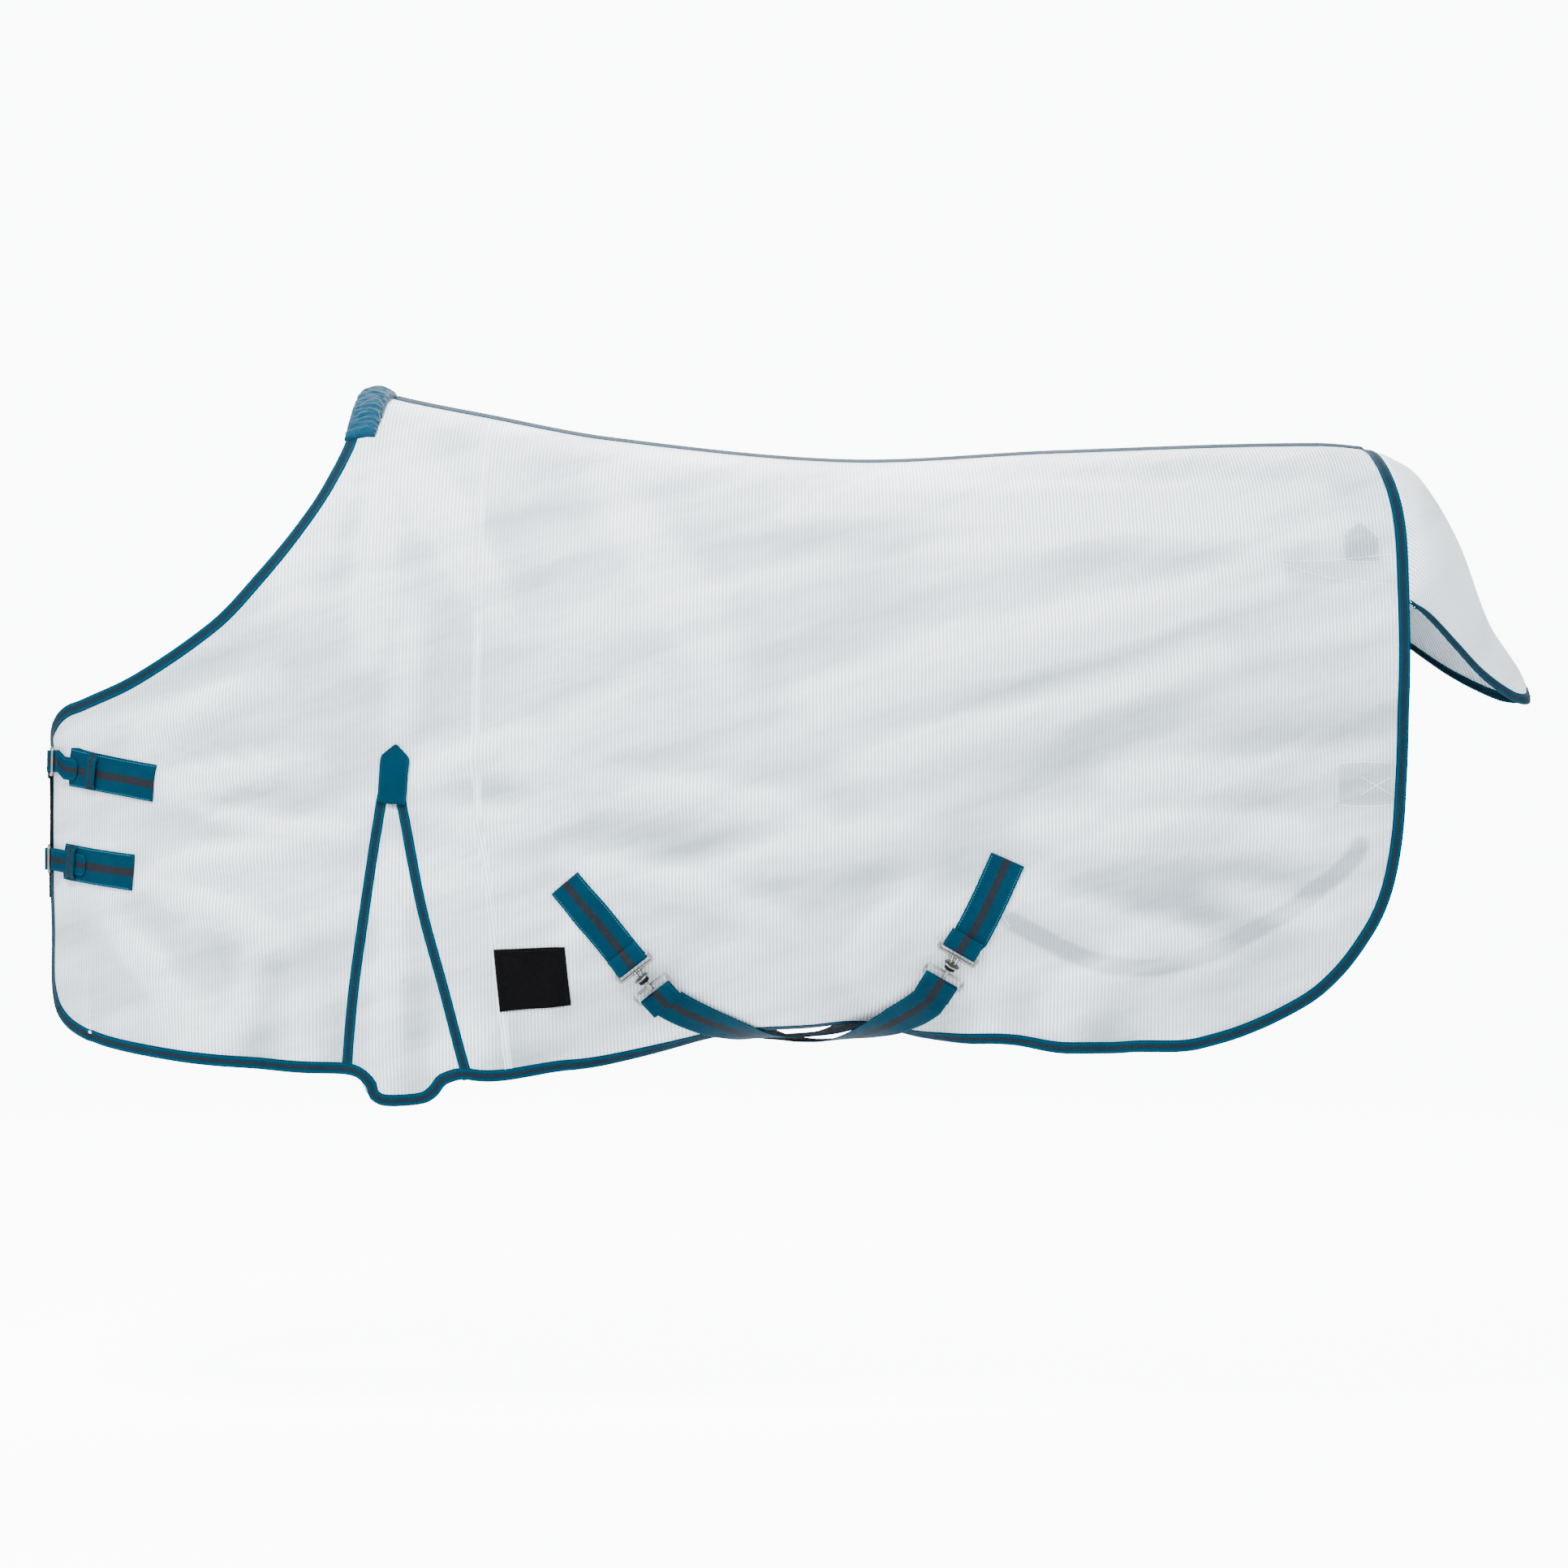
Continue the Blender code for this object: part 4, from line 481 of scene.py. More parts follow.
def tube(points, radius, sides=14, closed=False, flat=1.0):
    """A round wire along points. flat squeezes it along the first point's binormal."""
    points = np.array(points, float)
    count = len(points)
    if closed:
        way = unit(np.roll(points, -1, 0) - np.roll(points, 1, 0))
    else:
        way = unit(np.gradient(points, axis=0))
    radii = np.broadcast_to(radius, count)
    normal = unit(np.cross(way[0], [0.3, 0.5, 0.9]))
    if closed or count > 2:
        spans = np.cross(points[count // 3] - points[0], points[2 * count // 3] - points[0])
        if np.linalg.norm(spans) > 1e-9:
            normal = unit(spans)
    rings = []
    for k in range(count):
        normal = unit(normal - way[k] * (normal @ way[k]))
        side = np.cross(way[k], normal)
        turns = 2 * math.pi * np.arange(sides) / sides
        rings.append(points[k] + radii[k] * (np.outer(np.cos(turns), side)
                                             + flat * np.outer(np.sin(turns), normal)))
    faces = grid_faces(count, sides, closed=True)
    if closed:
        n = (count - 1) * sides
        faces += [[n + m, n + (m + 1) % sides, (m + 1) % sides, m] for m in range(sides)]
    else:
        faces += [list(range(sides)), list(range((count - 1) * sides, count * sides))]
    verts = np.concatenate(rings)
    return verts, faces, np.zeros((len(verts), 2))


def lathe(profile, start, axis, sides=32):
    """A turned shape from (distance along, radius) points."""
    start, axis = Vector(start), Vector(axis).normalized()
    side = axis.cross(Vector((0.31, 0.52, 0.79))).normalized()
    bm = bmesh.new()
    line = [bm.verts.new(start + axis * d + side * r) for d, r in profile]
    edges = [bm.edges.new(pair) for pair in zip(line, line[1:])]
    bmesh.ops.spin(bm, geom=line + edges, cent=start, axis=axis, dvec=(0, 0, 0),
                   angle=2 * math.pi, steps=sides, use_merge=True)
    bmesh.ops.holes_fill(bm, edges=bm.edges, sides=sides)
    bm.verts.index_update()
    verts = np.array([v.co for v in bm.verts])
    faces = [[v.index for v in face.verts] for face in bm.faces]
    bm.free()
    return verts, faces, np.zeros((len(verts), 2))


def rounded_loop(length, width, radius, cuts=8):
    """The middle line of a wire frame with round corners."""
    points = []
    for sx, sy, start in ((1, 1, 0), (-1, 1, 90), (-1, -1, 180), (1, -1, 270)):
        for k in range(cuts + 1):
            turn = math.radians(start + 90 * k / cuts)
            points.append((sx * (length / 2 - radius) + radius * math.cos(turn),
                           sy * (width / 2 - radius) + radius * math.sin(turn), 0))
    return np.array(points)


def moved(part, matrix):
    """A part's points taken to their place by a matrix."""
    verts = np.asarray(part[0]) @ np.array(matrix.to_3x3()).T + np.array(matrix.translation)
    return verts, part[1], part[2]


def stitches(q, v, side, off, far=False, pitch=0.0042, long=0.0029, size=0.0005):
    """A row of small raised stitches to one side of a line on the cloth."""
    rings, _ = strip_rings(q, v, side - 0.0004, side + 0.0004, off, 0.0004, far)
    line = np.array([ring[0].mean(0) for ring in rings])
    run = np.r_[0, np.cumsum(np.linalg.norm(np.diff(line, axis=0), axis=1))]
    out = unit(np.array([ring[0].mean(0) - ring[1].mean(0) for ring in rings]))
    parts = []
    for at in np.arange(pitch / 2, run[-1] - pitch / 2, pitch):
        a, b = np.array([[np.interp(at + d, run, line[:, k]) for k in range(3)]
                         for d in (-long / 2, long / 2)])
        n = out[min(int(np.searchsorted(run, at)), len(out) - 1)]
        way = unit(b - a)
        across = np.cross(n, way) * size
        mid = (a + b) / 2 + n * size
        verts = np.array([a, mid + across - way * long * 0.3, mid - across - way * long * 0.3,
                          mid + across + way * long * 0.3, mid - across + way * long * 0.3, b])
        faces = [[0, 1, 2], [1, 3, 4, 2], [3, 5, 4], [0, 2, 4, 5], [0, 5, 3, 1]]
        parts.append((verts, faces, np.zeros((6, 2))))
    return join(parts)


# ---- Materials ----------------------------------------------------------------------------------


class Wiring:
    """Short ways to add nodes to a material or a node group."""

    def __init__(self, tree):
        self.tree = tree

    def add(self, kind, values=(), **settings):
        made = self.tree.nodes.new(kind)
        for key, value in settings.items():
            setattr(made, key, value)
        for key, value in dict(values).items():
            if isinstance(value, bpy.types.NodeSocket):
                self.tree.links.new(value, made.inputs[key])
            else:
                made.inputs[key].default_value = value
        return made

    def math(self, operation, *values, clamp=False):
        made = self.add("ShaderNodeMath", enumerate(values), operation=operation, use_clamp=clamp)
        return made.outputs[0]

    def wave(self, value, period):
        """A 0 to 1 sine of a distance in metres."""
        turned = self.math("MULTIPLY_ADD", value, 2 * math.pi / period, 0.0)
        return self.math("MULTIPLY_ADD", self.math("SINE", turned), 0.5, 0.5)

    def mix(self, factor, first, second):
        """One colour turning into another."""
        made = self.add("ShaderNodeMix", data_type="RGBA", blend_type="MIX")
        for key, value in ((0, factor), (6, first), (7, second)):
            if isinstance(value, bpy.types.NodeSocket):
                self.tree.links.new(value, made.inputs[key])
            else:
                made.inputs[key].default_value = value if key == 0 else (*value, 1)
        return made.outputs[2]

    def noise(self, scale, detail=3.0, vector=None):
        vector = vector or self.add("ShaderNodeTexCoord").outputs["Object"]
        made = self.add("ShaderNodeTexNoise", {"Vector": vector, "Scale": scale, "Detail": detail})
        return made.outputs[0]

    def cut(self):
        """The place on the cloth in metres: across and along."""
        split = self.add("ShaderNodeSeparateXYZ",
                         {0: self.add("ShaderNodeUVMap", uv_map="cut").outputs[0]})
        return split.outputs[0], split.outputs[1]


def material(name, roughness, metallic=0.0, sheen=0.0, gloss=0.03):
    """A new material, its shader and a way to wire it."""
    made = bpy.data.materials.new(name)
    made.use_nodes = True
    shader = made.node_tree.nodes["Principled BSDF"]
    shader.inputs["Roughness"].default_value = roughness
    shader.inputs["Metallic"].default_value = metallic
    shader.inputs["Specular IOR Level"].default_value = 0.5 if metallic else gloss
    if sheen:
        shader.inputs["Sheen Weight"].default_value = sheen
        shader.inputs["Sheen Roughness"].default_value = 0.5
    return made, shader, Wiring(made.node_tree)


TWILL_PITCH, THREAD_PITCH, STITCH_PITCH, STITCH_IN = 0.0021, 0.0013, 0.0042, 0.0026


def woven_group():
    """A woven band: a stripe down its middle, twill threads and a row of stitches at each edge."""
    tree = bpy.data.node_groups.new("woven_band", "ShaderNodeTree")
    face = tree.interface
    for name, kind in (("Across", "Float"), ("Along", "Float"), ("Half", "Float"),
                       ("Stripe", "Float"), ("Ground", "Color"), ("Line", "Color"),
                       ("Thread", "Color")):
        face.new_socket(name, in_out="INPUT", socket_type=f"NodeSocket{kind}")
    face.new_socket("Color", in_out="OUTPUT", socket_type="NodeSocketColor")
    face.new_socket("Height", in_out="OUTPUT", socket_type="NodeSocketFloat")
    wire = Wiring(tree)
    given = tree.nodes.new("NodeGroupInput").outputs
    away = wire.math("ABSOLUTE", given["Across"])
    past = wire.math("SUBTRACT", given["Stripe"], away)
    stripe = wire.math("MULTIPLY_ADD", past, 1800.0, 0.5, clamp=True)
    twill = wire.math("MULTIPLY_ADD", given["Across"], 1.4, given["Along"])
    threads = wire.math("MULTIPLY", wire.wave(twill, TWILL_PITCH),
                        wire.wave(given["Across"], THREAD_PITCH))
    inside = wire.math("SUBTRACT", given["Half"], away)
    from_edge = wire.math("ABSOLUTE", wire.math("SUBTRACT", inside, STITCH_IN))
    line = wire.math("SUBTRACT", 1.0, wire.math("MULTIPLY", from_edge, 1500.0), clamp=True)
    dash = wire.math("GREATER_THAN", wire.wave(given["Along"], STITCH_PITCH), 0.32)
    stitch = wire.math("MULTIPLY", line, dash)
    shade = wire.math("MULTIPLY_ADD", threads, 0.30, 0.82)
    patchy = wire.math("MULTIPLY_ADD", wire.noise(38.0), 0.35, shade)
    ground = wire.mix(stripe, given["Ground"], given["Line"])
    toned = wire.add("ShaderNodeVectorMath", {0: ground, "Scale": patchy}, operation="SCALE")
    colour = wire.mix(stitch, toned.outputs[0], given["Thread"])
    height = wire.math("ADD", wire.math("MULTIPLY", threads, 0.5), stitch)
    out = tree.nodes.new("NodeGroupOutput")
    tree.links.new(colour, out.inputs["Color"])
    tree.links.new(height, out.inputs["Height"])
    return tree


def band_material(name, group, half, stripe, ground, line, thread):
    """A woven band of its own width, from the shared group."""
    made, shader, wire = material(name, 0.62)
    across, along_it = wire.cut()
    band = wire.add("ShaderNodeGroup", node_tree=group)
    links = wire.tree.links
    for key, value in (("Across", across), ("Along", along_it)):
        links.new(value, band.inputs[key])
    for key, value in (("Half", half), ("Stripe", stripe)):
        band.inputs[key].default_value = value
    for key, value in (("Ground", ground), ("Line", line), ("Thread", thread)):
        band.inputs[key].default_value = (*value, 1)
    links.new(band.outputs["Color"], shader.inputs["Base Color"])
    bump = wire.add("ShaderNodeBump", {"Height": band.outputs["Height"], "Strength": 0.5,
                                       "Distance": 0.0005})
    links.new(bump.outputs[0], shader.inputs["Normal"])
    return made


# SHADOW is the colour of painted shade. CREASE_GAIN and CREASE_SHIFT set how much shade the crease
# noise paints, and HOLLOW_GAIN how much the hollow attribute paints.
NET_ACROSS, NET_ALONG, SHADOW = 0.00125, 0.0016, (0.20, 0.25, 0.275)
CREASE_TILT, CREASE_SIZE, CREASE_SCALE = -0.33, (0.55, 0.5, 0.10), 1.7
CREASE_GAIN, CREASE_SHIFT, CREASE_BUMP, HOLLOW_GAIN = 1.9, -0.93, -13.0, 0.85


def cloth_material(props):
    """Ribbed open mesh that lets some light through; painted shade darkens its creases and fold
    hollows.
    """
    made, shader, wire = material("ribbed_mesh", 0.36, gloss=0.45)
    across, up = wire.cut()
    wobble = wire.math("MULTIPLY_ADD", wire.noise(9.0, 2.0), 0.0016, across)
    rib = wire.wave(wobble, props.rib_pitch)
    sharp = wire.math("POWER", rib, 1.6)
    net = wire.math("MULTIPLY", wire.wave(wobble, NET_ACROSS), wire.wave(up, NET_ALONG))
    pale, dim = tuple(props.mesh_colour), tuple(c * 0.50 for c in props.mesh_colour)
    base = wire.mix(sharp, dim, pale)
    holes = wire.mix(wire.math("MULTIPLY", net, 0.30), base, tuple(c * 0.62 for c in dim))
    # Painted shade: the hollow attribute holds the shade of the fold hollows, the painted shadow of
    # what is sewn inside and the shade of the low rear.
    hollow = wire.add("ShaderNodeAttribute", attribute_name="hollow").outputs["Fac"]
    spot = wire.add("ShaderNodeTexCoord").outputs["Object"]
    pulled = wire.add("ShaderNodeMapping", {"Vector": spot, "Rotation": (0, CREASE_TILT, 0),
                                            "Scale": CREASE_SIZE}, vector_type="TEXTURE")
    creases = wire.noise(CREASE_SCALE, 4.0, pulled.outputs[0])
    # The crease noise bumps the cloth and also paints shade into its colour, darker towards SHADOW.
    folded = wire.math("MULTIPLY_ADD", creases, CREASE_GAIN, CREASE_SHIFT)
    depth = wire.math("MULTIPLY_ADD", hollow, HOLLOW_GAIN, folded)
    painted_shade_colour = wire.mix(wire.math("MULTIPLY", depth, 1.0, clamp=True), holes, SHADOW)
    wire.tree.links.new(painted_shade_colour, shader.inputs["Base Color"])
    threads = wire.math("MULTIPLY_ADD", net, -0.3, sharp)
    height = wire.math("MULTIPLY_ADD", creases, CREASE_BUMP, threads)
    bump = wire.add("ShaderNodeBump", {"Height": height, "Strength": 0.85, "Distance": 0.0008})
    wire.tree.links.new(bump.outputs[0], shader.inputs["Normal"])
    through = wire.add("ShaderNodeBsdfTranslucent", {"Color": painted_shade_colour})
    lit = wire.add("ShaderNodeMixShader", {0: props.see_through, 1: shader.outputs[0],
                                           2: through.outputs[0]})
    out = wire.tree.nodes["Material Output"]
    wire.tree.links.new(lit.outputs[0], out.inputs["Surface"])
    return made


def fleece_material():
    """Curly pile, with painted shade where it lies low between the curls."""
    made, shader, wire = material("fleece", 0.95, sheen=0.15)
    curls = wire.noise(420.0, 5.0)
    tufts = wire.noise(120.0, 3.0)
    deep = wire.math("MULTIPLY_ADD", curls, 0.7, wire.math("MULTIPLY", tufts, 0.4), clamp=True)
    # Painted shade: the pile's colour darkens where its height is low, the same height that drives
    # the bump.
    colour = wire.mix(deep, (0.0, 0.012, 0.026), (0.0, 0.033, 0.062))
    wire.tree.links.new(colour, shader.inputs["Base Color"])
    bump = wire.add("ShaderNodeBump", {"Height": deep, "Strength": 0.8, "Distance": 0.0018})
    wire.tree.links.new(bump.outputs[0], shader.inputs["Normal"])
    return made


def steel_material():
    """Plated steel with faint smears."""
    colour, rough = (0.16, 0.158, 0.155), 0.24
    made, shader, wire = material("plated_steel", rough, 1.0)
    smear = wire.noise(60.0, 4.0)
    tone = wire.mix(wire.math("MULTIPLY", smear, 0.25), colour, tuple(c * 0.7 for c in colour))
    wire.tree.links.new(tone, shader.inputs["Base Color"])
    rubbed = wire.math("MULTIPLY_ADD", smear, 0.18, rough - 0.04)
    wire.tree.links.new(rubbed, shader.inputs["Roughness"])
    bump = wire.add("ShaderNodeBump", {"Height": wire.noise(300.0, 2.0), "Strength": 0.08,
                                       "Distance": 0.0004})
    wire.tree.links.new(bump.outputs[0], shader.inputs["Normal"])
    return made


def plain_material(name, colour, rough, grain, depth, gloss=0.03):
    """One colour with a fine mottle."""
    made, shader, wire = material(name, rough, gloss=gloss)
    mottle = wire.noise(grain, 4.0)
    paler = tuple(c * 1.9 + 0.0005 for c in colour)
    tone = wire.mix(wire.math("MULTIPLY", mottle, 0.8), colour, paler)
    wire.tree.links.new(tone, shader.inputs["Base Color"])
    bump = wire.add("ShaderNodeBump", {"Height": mottle, "Strength": 0.5, "Distance": depth})
    wire.tree.links.new(bump.outputs[0], shader.inputs["Normal"])
    return made


LOOKS = {}


def make_looks(props):
    group = woven_group()
    teal, stripe, thread = tuple(props.teal), (0.006, 0.0075, 0.010), (0.001, 0.050, 0.085)
    LOOKS.update({
        "cloth": cloth_material(props),
        "tape": band_material("edge_tape", group, 0.0082, 0.0021, teal, stripe, thread),
        "gusset": band_material("gusset_tape", group, 0.0075, 0.0018, teal, stripe, thread),
        "spine": band_material("spine_tape", group, 0.023, 0.0045, teal, stripe, thread),
        "webbing": band_material("webbing", group, 0.025, 0.0053, teal, stripe, thread),
        "chest": band_material("chest_webbing", group, 0.026, 0.0056, teal, stripe, thread),
        "billet": band_material("billet_webbing", group, 0.016, 0.0040, teal, stripe, thread),
        "leg": band_material("leg_webbing", group, 0.0125, 0.0028, teal, stripe, thread),
        "patch": band_material("patch_cloth", group, 0.0215, 0.0, teal, teal, thread),
        "fleece": fleece_material(), "steel": steel_material(),
        "rubber": plain_material("black_rubber", (0.003, 0.003, 0.0035), 0.55, 160.0, 0.0003),
        "facing": plain_material("black_facing", (0.0012, 0.0012, 0.0015), 0.8, 700.0, 0.0004,
                                 gloss=0.01),
        "thread": plain_material("thread", (0.002, 0.080, 0.130), 0.6, 900.0, 0.0002),
        "pale_thread": plain_material("pale_thread", (0.62, 0.66, 0.69), 0.6, 900.0, 0.0002),
    })


# ---- Cloth --------------------------------------------------------------------------------------


def placed(points):
    return place_of([tuple(p) for p in spaced(points)(np.linspace(0, 1, 60))])


seam_s, seam_t = placed(SEAM)
front_s, front_t = placed(GUSSET_FRONT)
back_s, back_t = placed(GUSSET_REAR)
APEX_T = float(front_t[0])


def by_row(places, t):
    """s along a line of stations at each row t."""
    order = np.argsort(places[1])
    return np.interp(t, places[1][order], places[0][order])


def shoulder_rows(t):
    """Where the columns of the front cloth fall in each row: edge, gusset, gusset, seam."""
    seam = by_row((seam_s, seam_t), t)
    at_apex = by_row((seam_s, seam_t), APEX_T)
    knots = []
    for places in ((front_s, front_t), (back_s, back_t)):
        share = float(by_row(places, APEX_T) / at_apex)
        knots.append(np.where(t > APEX_T, by_row(places, t), share * seam))
    return [np.zeros_like(t), *knots, seam]


def cloth_grid(s, t, far):
    """Points, UVs, height and the painted shadow of what is sewn inside, for a grid of the cloth.
    """
    q, v = spread(s, t)
    verts = draped(q, v, far).reshape(-1, 3)
    uvs = np.stack([q.ravel(), -verts[:, 2]], -1)
    return verts, uvs, settle(q, v, far).ravel(), painted_shadow(q, v).ravel()


# Where the painted shadow of what is sewn inside falls, in drawn x and z: boxes, the strap's half
# width and the pointed patch.
PATCH_BOXES = [(1.370, 1.452, -0.599, -0.539, 0.42), (1.300, 1.460, -0.288, -0.258, 0.26)]
STRAP_HALF, STRAP_BLUR, PATCH_BLUR, DARKEST = 0.0155, 0.005, 0.006, 0.62
POINT_X, POINT_TOP, POINT_FOOT, POINT_HALF = 1.4115, -0.198, -0.258, 0.026
# Painted shade: the low rear of the cloth is tinted a little greyer, and so are the hollows between
# its folds.
REAR_SHADE, HOLLOW_LEVEL, HOLLOW_DEPTH = 0.20, 0.36, 0.0085


def painted_shadow(q, v):
    """How dark the painted shadow of what is sewn inside is at q and v, plus painted shade on the
    low rear.
    """
    x, z = plan(q)[0] / LONG, body(q, v)[..., 2] / DEEP
    shade = np.zeros_like(x)
    for px, pz in spaced(LEG_POINTS)(np.linspace(0.17, 0.985, 200)):
        inside = STRAP_HALF - np.hypot(x - px, z - pz)
        shade = np.maximum(shade, DARKEST * np.clip(inside / STRAP_BLUR, 0, 1))
    for x0, x1, low, high, depth in PATCH_BOXES:
        inside = np.minimum(np.minimum(x - x0, x1 - x), np.minimum(z - low, high - z))
        shade = np.maximum(shade, depth * np.clip(inside / PATCH_BLUR + 0.5, 0, 1))
    aside = np.abs(x - POINT_X)
    roof = np.minimum(POINT_TOP - z - aside * 0.95, POINT_HALF - aside)
    inside = np.minimum(roof, z - POINT_FOOT)
    shade = np.maximum(shade, DARKEST * np.clip(inside / PATCH_BLUR + 0.5, 0, 1))
    # Painted shade: the low rear of the cloth is darker, as if less light reached it.
    return shade + REAR_SHADE * np.clip((x - 0.75) / 0.5, 0, 1) * np.clip((-z - 0.30) / 0.3, 0, 1)


def shaded(made, height, seen):
    """Keeps how deep the cloth lies in its folds, so that the hollows get greyer painted shade;
    seen adds the painted shadow of what is sewn inside.
    """
    layer = made.data.attributes.new("hollow", "FLOAT", "POINT")
    level = np.clip(HOLLOW_LEVEL - height / HOLLOW_DEPTH, 0, 1) + seen
    layer.data.foreach_set("value", level.ravel().astype(np.float32))


CLOTH_THICK = 0.0011


def thin(made):
    """Gives a sheet of faces the cloth's thickness."""
    shell = made.modifiers.new("cloth", "SOLIDIFY")
    shell.thickness, shell.offset = CLOTH_THICK, 0
    return made


def build_cloth(props):
    rows = props.cloth_rows
    for side, far in (("near", False), ("far", True)):
        t = np.linspace(0.0, 1.0, rows)
        t[int(np.argmin(np.abs(t - APEX_T)))] = APEX_T
        knots, counts = shoulder_rows(t), (rows * 44 // 140, rows * 14 // 140, rows * 22 // 140)
        cols = [k0[:, None] + (k1 - k0)[:, None] * np.linspace(0, 1, n, endpoint=False)
                for k0, k1, n in zip(knots, knots[1:], counts)]
        s = np.concatenate(cols + [knots[-1][:, None]], 1)
        width = s.shape[1]
        # seen is the painted shadow of what is sewn inside and the painted shade of the low rear.
        verts, uvs, height, seen = cloth_grid(s, np.repeat(t[:, None], width, 1), far)
        quads = np.array(grid_faces(rows, width))
        row, col = quads[:, 0] // width, quads[:, 0] % width
        inside = (t[row] >= APEX_T - 1e-9) & (col >= counts[0]) & (col < counts[0] + counts[1])
        for name, chosen, flat, area in (
                ("shoulder_cloth", quads[~inside], (0.79, 1.27), 0.49),
                ("gusset_cloth", quads[inside], (0.17, 0.44), 0.045)):
            used, index = np.unique(chosen, return_inverse=True)
            made = piece(f"{name}_{side}", verts[used], index.reshape(-1, 4).tolist(),
                         LOOKS["cloth"], uvs[used])
            shaded(made, height[used], seen[used])
            thin(made)
            node = "shoulder_panel" if "shoulder" in name else "gusset"
            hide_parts(f"{node}_{side}")
        wide = rows * 150 // 140
        seam = by_row((seam_s, seam_t), t)[:, None]
        s = seam + (1 - seam) * np.linspace(0, 1, wide) ** 0.97
        verts, uvs, height, seen = cloth_grid(s, np.repeat(t[:, None], wide, 1), far)
        made = thin(piece(f"body_cloth_{side}", verts, grid_faces(rows, wide), LOOKS["cloth"], uvs))
        shaded(made, height, seen)
        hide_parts(f"body_panel_{side}")
        seam = path_on(SEAM, 0.01)
        lofted(f"shoulder_seam_{side}", *strip_rings(*seam, -0.0055, 0.0055, 0.0007, 0.0009, far),
               "cloth", "mesh")
        rows_of = [stitches(*seam, gap, 0.0012, far) for gap in (-0.0045, 0.0045)]
        made = piece(f"seam_stitches_{side}", *join(rows_of)[:2], LOOKS["pale_thread"])


def tape_line(name, q, v, left, right, look, node, far, thick=0.0034, off=0.0):
    """A tape along a line of stations, from left of it to right of it."""
    rings, across = strip_rings(q, v, left, right, off, thick, far)
    return lofted(name, rings, across - (left + right) / 2, look, "tape", node)


TAPE_OVER, SPINE_RIDGE = 0.0006, 0.0065


def build_tapes(props):
    for side, far in (("near", False), ("far", True)):
        down = np.linspace(0.122, 1, 150)
        tape_line(f"neck_tape_{side}", *spread(np.zeros_like(down), down), -TAPE_OVER, EDGE_TAPE,
                  "tape", f"neck_binding_{side}", far)
        ahead = np.linspace(0, 1, 260) ** 1.1
        up = np.linspace(1, 0.0, 130)[1:]
        s, t = np.r_[ahead, np.ones_like(up)], np.r_[np.ones_like(ahead), up]
        tape_line(f"hem_tape_{side}", *spread(s, t), -TAPE_OVER, EDGE_TAPE, "tape",
                  f"hem_binding_{side}", far, thick=0.0038)
        half = GUSSET_TAPE / 2
        for end, line in (("front", [(0.041, -0.574), *GUSSET_FRONT]),
                          ("rear", [(0.057, -0.574), *GUSSET_REAR])):
            tape_line(f"gusset_tape_{end}_{side}", *path_on(line, 0.006), -half, half,
                      "gusset", f"gusset_binding_{end}_{side}", far, thick=0.0034)
    s = np.linspace(PAD_S, 0.9975, 170)
    rate = SPINE_TAPE / 2 * 0.02 / np.linalg.norm(skin(s, 0 * s + 0.02) - skin(s, 0 * s), axis=-1)
    t, ridge = rate[:, None] * EDGE, SPINE_RIDGE * (1 - np.abs(EDGE)) ** 1.3
    sides = [over_spine(s[:, None] + 0 * t, t, 0.0004 + ridge + 0.0014 * FULL * sign + 0 * t)
             for sign in (1, -1)]
    lofted("spine_tape", list(zip(*sides)), EDGE * SPINE_TAPE / 2, "spine", "tape",
           "spine_binding")


PAD_S, PAD_T = 0.0275, 1.9 / 15


def over_spine(s, t, off):
    """Points on the cloth where negative t is the near side and positive t the far side."""
    spots = skin(s, np.abs(t), False, off)
    spots[..., 1] *= np.where(t > 0, -1, 1)
    return spots


def build_pad(props):
    """The fleece roll over the withers: a padded strip with a deep uneven pile."""
    around_it, along_it = 56, 190
    rng = np.random.default_rng(7)
    w = np.linspace(-PAD_T, PAD_T, along_it)
    turns = 2 * math.pi * np.arange(around_it) / around_it
    verts = np.empty((along_it, around_it, 3))
    rough = rng.normal(0, 1, (along_it, around_it))
    for axis in (0, 1):
        rough = (np.roll(rough, 1, axis) + rough + np.roll(rough, -1, axis)) / 1.9
    ends = np.clip((1 - np.abs(w) / PAD_T) / 0.05, 0.0, 1) ** 0.5
    for n, (here, full) in enumerate(zip(w, ends)):
        size = 0.35 + 0.65 * full
        c, z = np.cos(turns), np.sin(turns)
        across = np.sign(c) * np.abs(c) ** 0.7 * (1 + 0.025 * rough[n])
        lift = np.sign(z) * np.abs(z) ** 0.75 * (0.0084 + 0.0009 * rough[n]) * size + 0.0012
        s = (PAD_S / 2) * (1 + across)
        verts[n] = over_spine(np.maximum(s, 1e-4), np.full_like(s, here), lift)
        verts[n, :, 0] += np.where(across < -0.6, -0.003, 0.0)
    faces = grid_faces(along_it, around_it, closed=True)
    faces += [list(range(around_it)), list(range((along_it - 1) * around_it, along_it * around_it))]
    made = piece("fleece_pad", verts.reshape(-1, 3), faces, LOOKS["fleece"])
    bump = made.modifiers.new("soft", "SUBSURF")
    bump.levels = bump.render_levels = 1
    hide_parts("withers_pad")


# ---- Straps -------------------------------------------------------------------------------------

